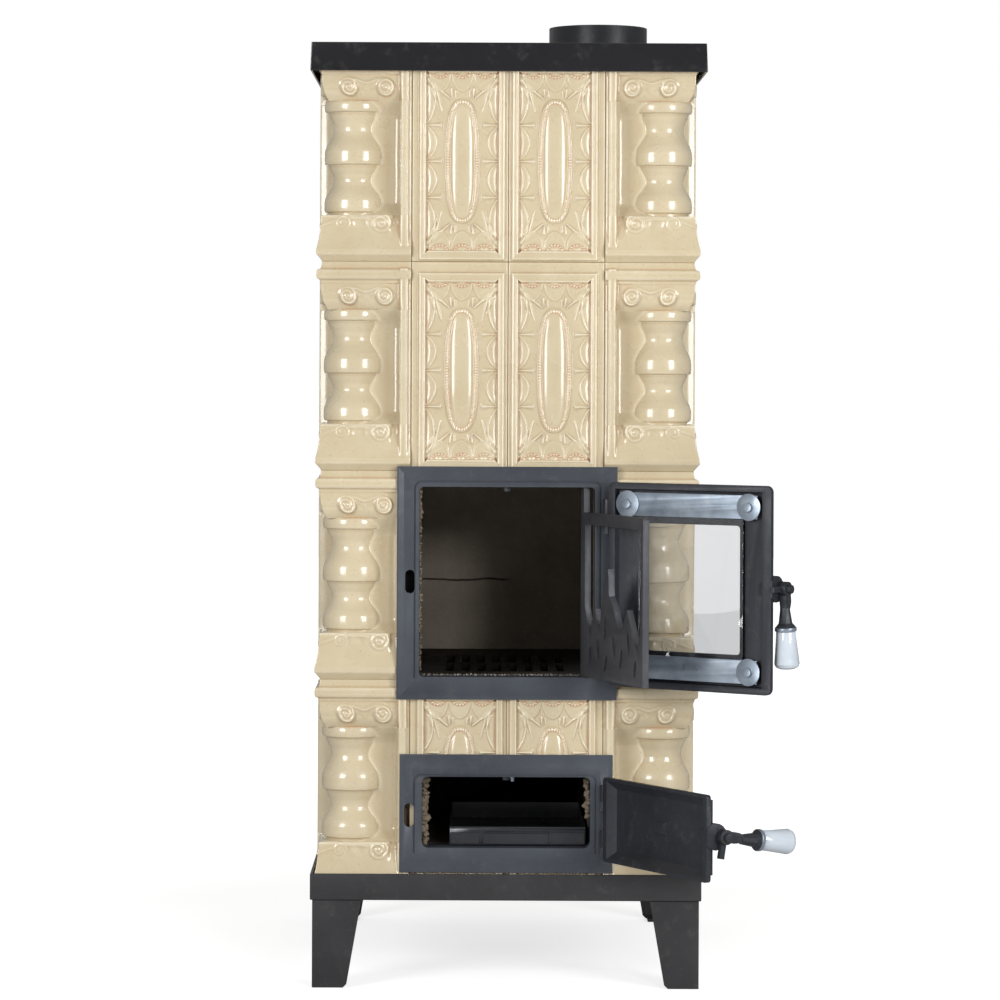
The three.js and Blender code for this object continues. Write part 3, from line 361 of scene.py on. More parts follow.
TILE_MID = 110.5                   # height of the ornament's middle
FIELD_HALF = 40.3                  # half the width of the field that the ornament is drawn for
RIM, END_RIM = 7.6, 10.3           # width of the rim at the sides and at the ends
RIM_LOW, RIM_HIGH = 1.5, 218.4     # where the rim starts and ends in height
UNDER_FLANGE = 4.1                 # relief that is left under a door frame's flange
FLANGE_ROOM = 0.6


def oval(u, v, at, a, b, power=2.0):
    """Level of a superellipse, 1 on its line, and the distance in mm from that line, outwards positive."""
    x, y = np.abs(u - at[0]) + 1e-6, np.abs(v - at[1]) + 1e-6
    level = ((x / a) ** power + (y / b) ** power) ** (1.0 / power)
    slope = level ** (1.0 - power) * np.hypot(x ** (power - 1) / a ** power, y ** (power - 1) / b ** power)
    return level, (level - 1.0) / slope


def beads(u, v, at, a, b, power, pitch, radius):
    """Half-round beads along a superellipse: h = sqrt(r^2 - s^2 - n^2), s along it and n across."""
    turn = np.linspace(-math.pi, math.pi, 1441)
    reach = (np.abs(np.cos(turn)) ** power + np.abs(np.sin(turn)) ** power) ** (-1.0 / power)
    step = np.hypot(np.diff(reach * a * np.cos(turn)), np.diff(reach * b * np.sin(turn)))
    length = np.concatenate([[0.0], np.cumsum(step)])
    count = max(4, round(length[-1] / pitch))
    along = np.interp(np.arctan2((v - at[1]) / b, (u - at[0]) / a), turn, length)
    cell = length[-1] / count
    s = (along / cell - np.floor(along / cell) - 0.5) * cell
    away = oval(u, v, at, a, b, power)[1]
    return np.sqrt(np.clip(radius ** 2 - s * s - away * away, 0.0, None)), away


def ridge(u, v, start, end, w0, w1, height):
    """A tapering roof-shaped ridge between two points; w0 and w1 are its half-widths."""
    (x0, y0), (x1, y1) = start, end
    dx, dy = x1 - x0, y1 - y0
    size = math.hypot(dx, dy)
    along = np.clip(((u - x0) * dx + (v - y0) * dy) / size ** 2, 0.0, 1.0)
    away = np.hypot(u - (x0 + along * dx), v - (y0 + along * dy))
    width = w0 + (w1 - w0) * along
    return height * np.clip(1.0 - away / width, 0.0, 1.0) ** 0.8


def flat_relief(u, v, half_rim):
    """Height over the plain face of the pressed flat tile, and what to add to its glaze tone: painted highlights on
    ridges and beads, and darker bead gaps, partly pooled glaze and partly painted shade.

    u runs from the tile's middle and v up from its bed. The ornament is mirrored left to right and top to bottom.
    """
    field = half_rim - RIM
    uo = u * FIELD_HALF / field
    side = np.abs(uo)
    up = np.abs(v - TILE_MID)
    painted_glints_and_shade = np.zeros(u.shape)

    # ground, rising a little towards the medallion
    ground = -1.5 + 1.3 * ss(side, 41.0, 24.0) + 0.5 * bell(up - 88.0, 12.0)

    # leaf-shaped lenses along the sides, each with a raised outline, and the folds between them
    for middle, half, depth in ((20.3, 18.8, 12.5), (67.5, 26.5, 11.0)):
        reach = np.clip(1.0 - ((up - middle) / half) ** 2, 0.0, 1.0)
        edge = FIELD_HALF - depth * reach ** 0.75
        inside = side - edge
        on = ss(inside, -0.2, 0.8) * ss(reach, 0.0, 0.12)
        keel = np.clip(1.0 - np.abs(inside / np.maximum(FIELD_HALF - edge, 0.5) - 0.5) / 0.5, 0.0, 1.0)
        ground = ground + on * (0.4 + 0.9 * keel ** 1.5)
        line = bell(inside - 0.5, 0.75) * ss(reach, 0.0, 0.12)
        ground = ground + 1.7 * line
        # painted highlight along each lens's raised outline
        painted_glints_and_shade = painted_glints_and_shade + 0.2 * line
    for level in (0.0, 39.8):
        half_width = 0.9 + 3.6 * np.clip((35.0 - side) / 14.0, 0.0, 1.0)
        star = np.clip(1.0 - np.abs(up - level) / half_width, 0.0, 1.0)
        ground = ground + 2.9 * star * ss(side, 21.0, 23.0)
        # painted glint on the star folds
        painted_glints_and_shade = painted_glints_and_shade + 0.12 * star * ss(side, 21.0, 23.0)
    for start, end, w0, w1, height in (
            ((37.0, 89.0), (13.5, 69.0), 3.6, 1.0, 3.0), ((38.5, 95.0), (19.0, 84.0), 2.2, 0.8, 1.8),
            ((30.0, 84.0), (22.5, 55.0), 2.4, 0.5, 1.8), ((34.0, 80.0), (27.5, 62.0), 1.8, 0.5, 1.5)):
        leaf = ridge(side, up, start, end, w0, w1, height)
        ground = ground + leaf
        # painted glint along the corner leaves
        painted_glints_and_shade = painted_glints_and_shade + 0.06 * leaf

    # three half-round lunettes with bead rows at both ends, and a pointed leaf over each cusp
    low = 98.5 - up
    inner = ss(up, 98.6, 98.0)
    for centre in (0.0, 24.6):
        level, away = oval(side, low, (centre, 0.0), 12.1, 21.5)
        dome = 0.7 + 1.2 * np.sqrt(np.clip(1.0 - level ** 2, 0.0, 1.0))
        on = ss(away, 0.4, -0.6) * inner
        ground = ground * (1 - on) + dome * on + 0.9 * bell(away + 0.4, 0.8) * inner
        drops, near = beads(side, low, (centre, 0.0), 8.4, 6.2, 2.0, 3.2, 1.4)
        ground = ground + drops * inner
        # darker gaps beside the lunette beads: partly pooled glaze, partly painted shade
        painted_glints_and_shade = painted_glints_and_shade - 0.6 * bell(near, 1.5) * (drops < 0.6) * inner
        ground = ground + 1.3 * bell(oval(side, low, (centre, 1.2), 3.2, 2.8)[0], 0.8)
    cusp = ridge(side, up, (12.3, 79.0), (11.6, 70.0), 2.4, 0.5, 3.0)
    cusp = cusp + ridge(side, up, (8.0, 77.0), (7.4, 70.5), 1.6, 0.5, 2.0)
    ground = ground + cusp
    # painted glint on the pointed cusp leaves
    painted_glints_and_shade = painted_glints_and_shade + 0.07 * cusp

    # medallion: stepped oval, milled ring, smooth dome
    level, away = oval(uo, v, (0.0, TILE_MID), 19.0, 68.0, 2.7)
    on = ss(away, 0.6, -0.5)
    ground = ground * (1 - ss(away, 0.6, -2.0)) + 1.7 * on + 0.5 * bell(away + 0.9, 0.8)
    drops, near = beads(uo, v, (0.0, TILE_MID), 15.9, 65.0, 2.7, 3.0, 1.65)
    ground = ground - 0.9 * bell(near, 1.7) + drops
    # darker gaps between the medallion's beads, partly pooled glaze and partly painted shade; painted highlight on the
    # bead tops
    painted_glints_and_shade = painted_glints_and_shade - 0.85 * bell(near, 1.6) * np.clip(1.0 - drops / 1.1, 0.0, 1.0) + 0.2 * (drops > 1.1)
    level, away = oval(uo, v, (0.0, TILE_MID), 13.0, 62.0, 2.7)
    dome = 1.0 + 4.6 * np.sqrt(np.clip(1.0 - level ** 2, 0, 1))
    ground = np.where(level < 1.0, np.maximum(ground, dome), ground)

    # rim: outer step, flat band, raised inner bead
    inset = np.minimum(np.minimum(half_rim - np.abs(u), v - RIM_LOW), RIM_HIGH - v)
    at_end = np.minimum(v - RIM_LOW, RIM_HIGH - v) < half_rim - np.abs(u)
    width = np.where(at_end, END_RIM, RIM)
    line = bell(inset - width + 0.8, 0.65)
    rim = (3.3 * ss(inset, -0.2, 1.6) + 1.2 * line + 0.4 * bell(inset - 1.8, 0.8)
           - 0.3 * bell(inset - width / 2, 2.0))
    height = np.where(inset < width, rim, ground + (rim - ground) * ss(inset - width, 1.2, 0.0))
    # on the rim only the painted highlight along its inner bead is kept
    painted_glints_and_shade = np.where(inset < width, 0.1 * line, painted_glints_and_shade)
    return np.where(inset < -0.2, 0.0, height), painted_glints_and_shade


def tone_of(height, cell, lift=0.0):
    """Glaze tone from relief: grooves dark, partly as pooled glaze and partly as painted shade, ridges light, partly as
    painted highlight: 0.62 + k*(h - mean of h around); lift adds painted glints and shade.
    """
    near = height - blurred(height, max(1, round(1.6 / cell)))
    wide = height - blurred(height, max(2, round(5.0 / cell)))
    return np.clip(0.62 + 0.26 * near + 0.03 * wide + lift, 0.0, 1.0)


def rounded_edges(height, u, v, u0, u1, v0, v1, radius=1.3, drop=1.2):
    """Edges of a tile fall away over radius, as on a pressed and glazed tile."""
    border = np.minimum(np.minimum(u - u0, u1 - u), np.minimum(v - v0, v1 - v))
    t = np.clip(1.0 - border / radius, 0.0, 1.0)
    return height - drop * (1.0 - np.sqrt(np.clip(1.0 - t * t, 0.0, 1.0)))


def grid(start, end, cell):
    """Evenly spaced values whose first and last come twice, because the outer ones fold back as a skirt."""
    count = max(3, int(round((end - start) / cell)) + 1)
    line = np.linspace(start, end, count)
    return np.concatenate([[start], line, [end]])


def behind_frames(x, z, height):
    """Relief under a door frame's flange is ground flat, so that the frame sits on the tiles."""
    for f in (FIRE_FRAME, ASH_FRAME):
        under = ((np.abs(x) < f["half"] + FLANGE_ROOM) & (z > f["low"] - FLANGE_ROOM)
                 & (z < f["high"] + FLANGE_ROOM))
        height = np.where(under, np.minimum(height, UNDER_FLANGE), height)
    return height


def flat_tile(name, u0, u1, half_rim, cell, place, front=False, flip=False):
    """One pressed flat tile; place(u, height, v) gives points in mm."""
    us, vs = grid(u0, u1, cell), grid(BED_GAP, PITCH - BED_GAP, cell)
    u, v = np.meshgrid(us, vs)
    height, painted_glints_and_shade = flat_relief(u, v, half_rim)
    height = rounded_edges(height, u, v, u0, u1, BED_GAP, PITCH - BED_GAP)
    tone = tone_of(height, cell, painted_glints_and_shade)
    points = place(u, height, v)
    keep = None
    if front:
        height = behind_frames(points[..., 0], points[..., 2], height)
        points = place(u, height, v)
        x = (points[:-1, :-1, 0] + points[1:, 1:, 0]) / 2
        z = (points[:-1, :-1, 2] + points[1:, 1:, 2]) / 2
        keep = np.ones(x.shape, bool)
        for f, room in ((FIRE_FRAME, 6.0), (ASH_FRAME, 5.0)):
            keep &= ~((np.abs(x) < f["opening"] + room) & (z > f["sill"] - room) & (z < f["lintel"] + room))
    skirt = np.zeros(height.shape, bool)
    skirt[[0, -1], :] = True
    skirt[:, [0, -1]] = True
    points = place(u, np.where(skirt, -2.0, height), v)
    tone = np.where(skirt, 0.55, tone)
    return sheet(name, points, tone, GLAZE, "stove", keep, flip)


# ---------------------------------------------------------------- corner tile with its turned column

COLUMN_AT = 36.0                   # the column's axis, from either face
LEDGES = (54.5, 107.0, 165.0)      # heights of its ledges
COLUMN_EDGE = 62.0                 # where the leg ends and the rounding begins
CORNER_END = CORNER_LEG - TILE_GAP
COVE = 19.6                        # depth of the cove beside the column
FOOT_PROUD = 5.2                   # how far the lowest foot may stand out over the tray
POCKET = 11.5                      # depth of the latch pocket in the leg


def column_radius(v):
    """Radius of the turned column: three bulges, each with a sharp ledge at its foot."""
    heights, radii = [40.0], [29.4]
    for i, ledge in enumerate(LEDGES):
        span = (LEDGES[i + 1] - ledge) if i < 2 else 55.0
        marks = [(-1.6, 29.6), (-0.3, 29.9), (0.2, 32.2), (1.3, 33.3), (0.11 * span, 33.9), (0.24 * span, 33.6),
                 (0.35 * span, 31.8), (0.47 * span, 28.2), (0.57 * span, 25.4), (0.66 * span, 24.3),
                 (0.76 * span, 25.0), (0.88 * span, 27.6)]
        if i == 2:
            marks = marks[:5] + [(10.5, 33.4), (13.5, 31.6), (17.0, 30.0), (30.0, 30.0)]
        heights += [ledge + m for m, _ in marks]
        radii += [r for _, r in marks]
    return smooth_curve(v, heights, radii)


def volute(t, v, at, radius, turns, sign, rise):
    """Spiral scroll: phase = turns*r/R - sign*angle/(2*pi); a round channel follows it."""
    x, y = t - at[0], v - at[1]
    r = np.hypot(x, y)
    phase = turns * r / radius - sign * np.arctan2(y, x) / (2 * math.pi)
    wave = 0.5 + 0.5 * np.cos(2 * math.pi * phase)
    on = ss(r, radius + 0.9, radius - 1.2)
    return on, rise * (0.4 + 1.7 * wave * ss(r, 0.0, 3.0) + 1.6 * bell(r, 2.0))


def cove_depth(t):
    """Depth of the cove beside the column, then the proud strip along the tile's edge; t from the corner."""
    return smooth_curve(t, [-9.0, 60.0, 72.0, 80.0, 84.4, 86.0, 86.9, 88.0, 89.0, 91.8, 94.6, 95.6, 96.8, 99.8],
                        [COVE, COVE, 19.3, 18.6, 17.0, 10.0, -1.5, -4.7, -4.8, -4.2, -4.8, -4.6, -0.2, 0.0])


def shallower(v):
    """Share of the cove's depth that is left at a height: it runs out towards capital and base."""
    return (1.0 - 0.9 * ss(v, 156.0, 190.0)) * (1.0 - 0.8 * ss(v, 66.0, 44.0))


def block_depth(t, v):
    """Depth under the plain face (negative is proud) of the corner's front, t from the corner."""
    foot = smooth_curve(v, [0, 1.5, 6.0, 8.4, 12.0, 15.0, 24.0, 36.0, 52.0, 231.0],
                        [1.0, 0.2, -3.4, -5.2, -5.4, -4.6, -2.6, -1.0, 0.0, 0.0])
    cove = cove_depth(t)
    strip = ss(t, 86.0, 87.4)
    cove = np.where(cove > 0, cove * shallower(v), cove)
    crown = smooth_curve(v, [190.0, 200.0, 206.0, 209.5, 211.0, 214.0, 218.0, 220.5, 222.0, 231.0],
                         [0.6, 0.2, -0.6, -1.2, -4.0, -5.0, -5.0, -4.0, -0.4, 1.0])
    depth = np.where(v > 206.0, np.minimum(crown, np.where(t > 86.5, cove, crown)), cove)
    depth = np.where((v > 206.0) & (v < 222.0), np.minimum(depth, crown), depth)
    depth = np.where(v >= 222.0, crown, depth)
    # capital block over the column
    band = smooth_curve(v, [174.0, 181.0, 186.0, 197.0, 204.0, 231.0], [13.0, 7.5, 3.4, 0.4, 0.2, 0.2])
    leaf = 0.8 * np.cos((t - 49.0) / 2.1) * bell(v - 188.0, 6.0) * bell(t - 49.0, 9.0)
    block = (band - leaf) * (1 - ss(t, 66.0, 76.0)) + cove * ss(t, 66.0, 76.0)
    depth = np.where((v > 174.0) & (v <= 206.0), np.minimum(block, depth), depth)
    channel = bell(v - 201.0 + 4.5 * bell(t - 49.0, 9.0), 1.3) * ss(t, 24.0, 29.0) * ss(t, 76.0, 70.0)
    depth = depth - 1.5 * channel
    for at, sign in ((28.6, 1.0), (69.5, -1.0)):
        on, height = volute(t, v, (at, 192.2), 9.8, 2.2, sign, 0.95)
        depth = depth * (1.0 - on) - height * on
    # base moulding with its scrolls
    lower = ss(v, 53.0, 50.0)
    blend = ss(t, 75.0, 80.5) * ss(v, 24.0, 46.0)
    base = foot * (1 - blend) + np.maximum(cove, 0.0) * blend
    ripple = np.cos((t - 44.0) / 2.4 + (v - 34.0) / 5.0) * bell(v - 42.0, 6.0)
    base = base - 0.7 * ripple * ss(t, 24.0, 32.0) * ss(t, 58.0, 50.0)
    base = base - 1.0 * bell(v - 48.0 + 0.006 * (t - 40.0) ** 2, 1.4) * ss(t, 78.0, 70.0)
    base = np.where((v > 13.0) & (t > 84.0), base * (1 - strip) + np.minimum(cove, base) * strip, base)
    depth = depth * (1 - lower) + base * lower
    for at, radius, sign, rise in ((66.0, 11.2, 1.0, 0.9), (24.0, 8.0, -1.0, 0.45)):
        on, height = volute(t, v, (at, 42.5), radius, 2.2, sign, rise)
        on = on * lower
        depth = depth * (1.0 - on) - (height + 0.4) * on
    return depth


def corner_tile(name, side, back, level, cell, arc_points):
    """Corner tile: one section per row, from the front leg's end round the column to the side leg's."""
    rows = np.unique(np.concatenate([
        np.linspace(BED_GAP, PITCH - BED_GAP, int(PITCH / cell)),
        np.array([c + d for c in LEDGES for d in (-1.8, -0.8, -0.3, 0.0, 0.2, 0.7, 1.3)]),
        np.array([50.9, 51.0, 176.9, 177.0])]))
    legs = np.linspace(CORNER_END, COLUMN_EDGE, int(38 / cell))
    arc = np.linspace(COLUMN_EDGE, 0.0, arc_points)[1:]
    t = np.concatenate([[legs[0]], legs, arc])
    tt, vv = np.meshgrid(t, rows)
    depth = block_depth(tt, vv)
    corner = depth[:, -1:]
    xs = corner + tt * (CORNER_LEG - corner) / CORNER_LEG
    ys = depth.copy()
    # the turned column between foot and capital
    radius = column_radius(rows)[:, None]
    cove = COVE * shallower(rows)[:, None]
    start = -np.arcsin(np.clip((COLUMN_AT - cove) / radius, -1, 1))
    part = np.linspace(0.0, 1.0, arc_points)[None, 1:]
    angle = start + (-0.75 * math.pi - start) * part
    touch = COLUMN_AT + radius * np.cos(start)
    leg_t = np.concatenate([[legs[0]], legs])[None, :]
    bend = np.clip((CORNER_LEG - leg_t) / (CORNER_LEG - COLUMN_EDGE), 0, 1)
    leg_x = leg_t + (touch - COLUMN_EDGE) * ss(bend, 0.42, 1.0)
    leg_y = block_depth(np.repeat(leg_t, len(rows), 0), np.full((len(rows), leg_t.shape[1]), 100.0))
    leg_y = np.where(leg_y > 0, leg_y * shallower(rows)[:, None], leg_y)
    turned = ((rows > 50.95) & (rows < 176.95))[:, None]
    xs = np.where(turned, np.concatenate([leg_x, COLUMN_AT + radius * np.cos(angle)], 1), xs)
    ys = np.where(turned, np.concatenate([leg_y, COLUMN_AT + radius * np.sin(angle)], 1), ys)
    end = np.clip(1.0 - (CORNER_END - tt) / 1.6, 0, 1)
    ys = ys + 1.2 * (1 - np.sqrt(1 - end ** 2))
    tone = np.maximum(tone_of(-ys, cell), 0.3 + 0.06 * np.sin(tt + vv))
    # painted highlight: a lighter line where the cove meets the column
    junction_highlight = bell(tt - 63.5, 2.2)
    # on the legs the glaze darkens with depth into the cove as painted shade, and the proud strip is a little lighter
    tone = np.where(turned, 0.68 - 0.010 * np.clip(ys, -4, 14) * (tt > COLUMN_EDGE) + 0.25 * junction_highlight, tone)
    # painted shadow just under each of the column's ledges
    under = np.array([np.min(np.abs(r - np.array(LEDGES) + 1.6)) for r in rows])[:, None]
    tone = tone - 0.22 * bell(under, 1.3) * turned * (tt < COLUMN_EDGE)
    # the frame's flange and latch pocket, on the front leg only
    world_x = side * (HALF_X - xs)
    world_z = BED + (level - 1) * PITCH + vv
    front = ys.copy()
    if not back:
        front = -behind_frames(world_x, world_z, -ys)
        for x, z in SLOTS:
            pocket = (np.abs(world_x - x) < 6.2) & (np.abs(world_z - z) < 14.0)
            front = np.where(pocket, POCKET, front)
    if level == 1:
        inside = vv < 18.0
        front = np.where(inside, np.maximum(front, -FOOT_PROUD), front)
        ys = np.where(inside, np.maximum(ys, -FOOT_PROUD), ys)
        xs = np.where(inside, np.maximum(xs, -FOOT_PROUD), xs)
    first = np.zeros(tt.shape, bool)
    first[:, 0] = True
    half_a = np.stack([xs, np.where(first, 2.0, front)], -1)
    half_b = np.stack([np.where(first, 2.0, ys), xs], -1)[:, ::-1][:, 1:]
    plan = np.concatenate([half_a, half_b], 1)
    tone = np.concatenate([tone, tone[:, ::-1][:, 1:]], 1)
    height = np.repeat(world_z[:, :1], plan.shape[1], 1)
    facing = -1.0 if not back else 1.0
    points = np.stack([side * (HALF_X - plan[..., 0]), facing * (HALF_Y - plan[..., 1]), height], -1)
    lid = points[[0, -1]].copy()
    inner = np.array([side * (HALF_X - 34.0), facing * (HALF_Y - 34.0)])
    lid[..., :2] = lid[..., :2] * 0.8 + inner * 0.2
    points = np.concatenate([lid[:1], points, lid[1:]], 0)
    tone = np.concatenate([tone[:1] * 0.6, tone, tone[-1:] * 0.6], 0)
    return sheet(name, points, tone, GLAZE, "stove", None, flip=(side > 0) != back)


# ---------------------------------------------------------------- build the tiles

FRONT_CELL, SIDE_CELL = 0.75, 1.9             # grid steps of the flat tiles
CORNER_CELL, BACK_CORNER_CELL = 1.0, 2.4      # grid steps of the corner tiles
FRONT_FLATS = {1: "over_ash_door", 3: "over_fire_door", 4: "top"}


def on_face(side, facing, bed):
    """Places a flat tile on the front (facing -1) or back (facing 1), left or right of the middle joint."""
    return lambda u, h, v: np.stack([side * (FRONT_TILE_AT + u), facing * (HALF_Y + h), bed + v], -1)


def on_side(side, middle, bed):
    """Places a flat tile on the left or right face, with its middle at that depth."""
    return lambda u, h, v: np.stack([side * (HALF_X + h), middle + u, bed + v], -1)


for level in range(1, 5):
    bed = BED + (level - 1) * PITCH
    for side, hand in ((-1, "left"), (1, "right")):
        tile = corner_tile(f"corner_{level}_{hand}_front", side, False, level, CORNER_CELL, 60)
        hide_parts(f"corner_tile_{level}_{hand}")
        for i in range(3):
            middle = -HALF_Y + CORNER_LEG + (i + 0.5) * SIDE_WIDTH
            piece = flat_tile(f"side_{level}_{hand}_{i + 1}", -SIDE_WIDTH / 2 + TILE_GAP, SIDE_WIDTH / 2 - TILE_GAP,
                              50.7, SIDE_CELL, on_side(side, middle, bed), flip=side < 0)
            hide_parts(f"side_tiles_{level}_{hand}")
        if level in FRONT_FLATS:
            where = FRONT_FLATS[level]
            piece = flat_tile(f"front_{level}_{hand}", -50.9, 55.1, 47.9, FRONT_CELL, on_face(side, -1, bed),
                              front=True, flip=side < 0)
            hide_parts(f"flat_tile_{where}_{hand}")
        piece = flat_tile(f"back_{level}_{hand}", -50.9, 55.1, 47.9, SIDE_CELL, on_face(side, 1, bed), flip=side > 0)
        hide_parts(f"back_tiles_{level}")
        piece = corner_tile(f"corner_{level}_{hand}_back", side, True, level, BACK_CORNER_CELL, 26)
        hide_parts(f"back_tiles_{level}")


# ---------------------------------------------------------------- refined copies of the cast and folded pieces

def narrow_guard(shape):
    """The guard's free stile is slimmer and nearer its hinge: u past 157 mm is drawn in to half."""
    axis = np.array([86.0, -262.0]) * 0.001
    points = np.array([v.co[:2] for v in shape.verts]) - axis
    far = points[np.argmax(np.hypot(points[:, 0], points[:, 1]))]
    along = far / np.hypot(*far)
    for vert, u in zip(shape.verts, points @ along):
        if u > 0.157:
            shift = -(u - 0.157) * 0.5
            vert.co.x += along[0] * shift
            vert.co.y += along[1] * shift


def refined(node, finish, body, width=0.8, segments=3, angle=28.0):
    """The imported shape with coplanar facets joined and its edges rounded, as casting or bending leaves them."""
    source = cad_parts[node]
    shape = bmesh.new()
    shape.from_mesh(source.data)
    bmesh.ops.remove_doubles(shape, verts=shape.verts, dist=1e-5)
    bmesh.ops.dissolve_limit(shape, angle_limit=math.radians(1.2), verts=shape.verts, edges=shape.edges)
    if node == "flame_guard":
        narrow_guard(shape)
    mesh = bpy.data.meshes.new(f"{node}_fine")
    shape.to_mesh(mesh)
    shape.free()
    mesh.materials.clear()
    mesh.materials.append(finish)
    mesh.shade_smooth()
    obj = linked(f"{node}_fine", mesh)
    bevel = obj.modifiers.new("edges", "BEVEL")
    bevel.width = width * 0.001
    bevel.segments = segments
    bevel.limit_method = "ANGLE"
    bevel.angle_limit = math.radians(angle)
    bevel.harden_normals = True
    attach(obj, body)
    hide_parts(node)
    return obj


# node, finish, body, slot and width of its rounded edges in mm
REFINED = [
    ("fire_door_frame", IRON, "stove", "cast_iron", 0.5),
    ("ash_door_frame", IRON, "stove", "cast_iron", 0.8),
    ("fire_door", DOOR_IRON, "fire_door", "cast_iron", 0.7),
    ("ash_door", DOOR_IRON, "ash_door", "cast_iron", 0.7),
    ("fire_latch_lever", DOOR_IRON, "fire_latch", "cast_iron", 0.7),
    ("ash_latch_lever", DOOR_IRON, "ash_latch", "cast_iron", 0.7),
    ("flame_guard", GUARD_IRON, "flame_guard", "guard_iron", 0.4),
    ("base_tray", TRAY_PAINT, "stove", "tray_paint", 1.2),
    ("top_plate", PLATE_BLACK, "stove", "black_enamel", 0.9),
    ("flue_collar", PIPE_PAINT, "stove", "collar_paint", 0.5),
    ("ash_drawer", DRAWER_PAINT, "ash_drawer", "sheet_black", 0.6),
    ("grate", SOOTY_IRON, "stove", "guard_iron", 1.0),
    ("glass_strip_upper", ZINC, "fire_door", "zinc", 0.4),
    ("glass_strip_lower", ZINC, "fire_door", "zinc", 0.4),
    ("door_glass", WINDOW, "fire_door", "window_glass", 0.4),
]
for row in ("front", "back"):
    for hand in ("left", "right"):
        REFINED.append((f"leg_{row}_{hand}", TRAY_PAINT, "stove", "tray_paint", 0.8))
for row in ("upper", "lower"):
    for hand in ("left", "right"):
        REFINED.append((f"washer_screw_{row}_{hand}", ZINC, "fire_door", "zinc", 0.35))
for name in ("fire", "ash"):
    REFINED.append((f"{name}_grip_ferrule", ZINC, f"{name}_latch", "zinc", 0.5))
    REFINED.append((f"{name}_porcelain_grip", PORCELAIN, f"{name}_latch", "porcelain", 0.6))
REFINED.append(("hearth_block", SOOTY_CLAY, "stove", "fireclay", 1.2))
for node_name in ("lining_left", "lining_right", "lining_front", "lining_back", "baffle", "cover_slab"):
    REFINED.append((node_name, CLAY, "stove", "fireclay", 1.2))
for node_name, finish, body_name, slot_name, edge_width in REFINED:
    refined(node_name, finish, body_name, edge_width)


# ---------------------------------------------------------------- small pieces: crumbs, raw clay, pockets, drawer front

def lumps(name, spots, finish, body, seed):
    """Rough lumps joined in one mesh; spots holds (x, y, z, radius) in mm."""
    shape = bmesh.new()
    rng = np.random.default_rng(seed)
    for x, y, z, radius in spots:
        made = bmesh.ops.create_icosphere(shape, subdivisions=2, radius=radius * 0.001)["verts"]
        phase = rng.uniform(0, 6.28, 6)
        squash = rng.uniform(0.6, 1.1, 3)
        for vert in made:
            p = vert.co * (1000.0 / radius)
            wave = (math.sin(3.1 * p.x + phase[0]) + math.sin(4.3 * p.y + phase[1]) + math.sin(3.7 * p.z + phase[2])
                    + 0.6 * math.sin(9.0 * p.x + phase[3]) + 0.6 * math.sin(8.0 * p.z + phase[4]))
            scale = 1.0 + 0.13 * wave
            vert.co = Vector((vert.co.x * squash[0], vert.co.y * squash[1], vert.co.z * squash[2])) * scale
            vert.co += Vector((x, y, z)) * 0.001
    mesh = bpy.data.meshes.new(name)
    shape.to_mesh(mesh)
    shape.free()
    mesh.materials.append(finish)
    mesh.shade_smooth()
    obj = linked(name, mesh)
    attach(obj, body)


def scatter():
    """Raw clay along the doorways' edges and crumbs of ash on the fire door's sill."""
    rng = np.random.default_rng(7)
    edge = [(-96.4 + rng.uniform(-0.6, 1.4), rng.uniform(-247, -238), z + rng.uniform(-2, 2),
             rng.uniform(0.7, 2.4) + 2.2 * (z > 515) * rng.uniform()) for z in np.arange(346, 548, 1.3)]
    lumps("fire_clay_edge", edge, RAW_CLAY, "stove", 1)
    edge = [(-91.0 + rng.uniform(-1.0, 2.4), rng.uniform(-250, -238), z + rng.uniform(-2, 2),
             rng.uniform(1.4, 5.6)) for z in np.arange(159, 230, 1.1)]
    edge += [(91.0 + rng.uniform(-2.2, 1.0), rng.uniform(-250, -238), z + rng.uniform(-2, 2),
              rng.uniform(1.2, 4.6)) for z in np.arange(188, 230, 1.2)]
    lumps("ash_clay_edges", edge, RAW_CLAY, "stove", 2)
    crumbs = [(x + rng.uniform(-1.5, 1.5), rng.uniform(-253, -236), 342.2 + rng.uniform(0, 0.5),
               rng.uniform(0.2, 0.8) + 0.9 * rng.uniform() ** 4) for x in np.arange(-93, 88, 0.9)]
    lumps("sill_ash", crumbs, ASH_GREY, "stove", 3)


def box_shell(shape, low, high, open_front=False):
    """Adds a box in mm to a bmesh; an open one lacks its face towards -Y and faces inwards."""
    xs, ys, zs = zip(low, high)
    verts = [shape.verts.new((x * 0.001, y * 0.001, z * 0.001)) for x in xs for y in ys for z in zs]
    faces = [(0, 1, 3, 2), (4, 6, 7, 5), (0, 2, 6, 4), (1, 5, 7, 3), (2, 3, 7, 6)]
    if open_front:
        faces = [f[::-1] for f in faces]
    else:
        faces.append((0, 4, 5, 1))
    for f in faces:
        shape.faces.new([verts[i] for i in f])


def made_piece(name, shape, finish, body, width):
    """An object made from a bmesh; width rounds its edges, in mm, and 0 leaves them sharp."""
    mesh = bpy.data.meshes.new(name)
    shape.to_mesh(mesh)
    shape.free()
    mesh.materials.append(finish)
    mesh.shade_smooth()
    obj = linked(name, mesh)
    if width:
        bevel = obj.modifiers.new("edges", "BEVEL")
        bevel.width = width * 0.001
        bevel.segments = 3
        bevel.harden_normals = True
    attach(obj, body)


def latch_pocket(name, at, finish):
    """The pocket behind a frame's latch slot."""
    shape = bmesh.new()
    x, z = at
    box_shell(shape, (x - 5.9, -265.7, z - 13.6), (x + 5.9, -250.2, z + 13.6), open_front=True)
    made_piece(name, shape, finish, "stove", 0)


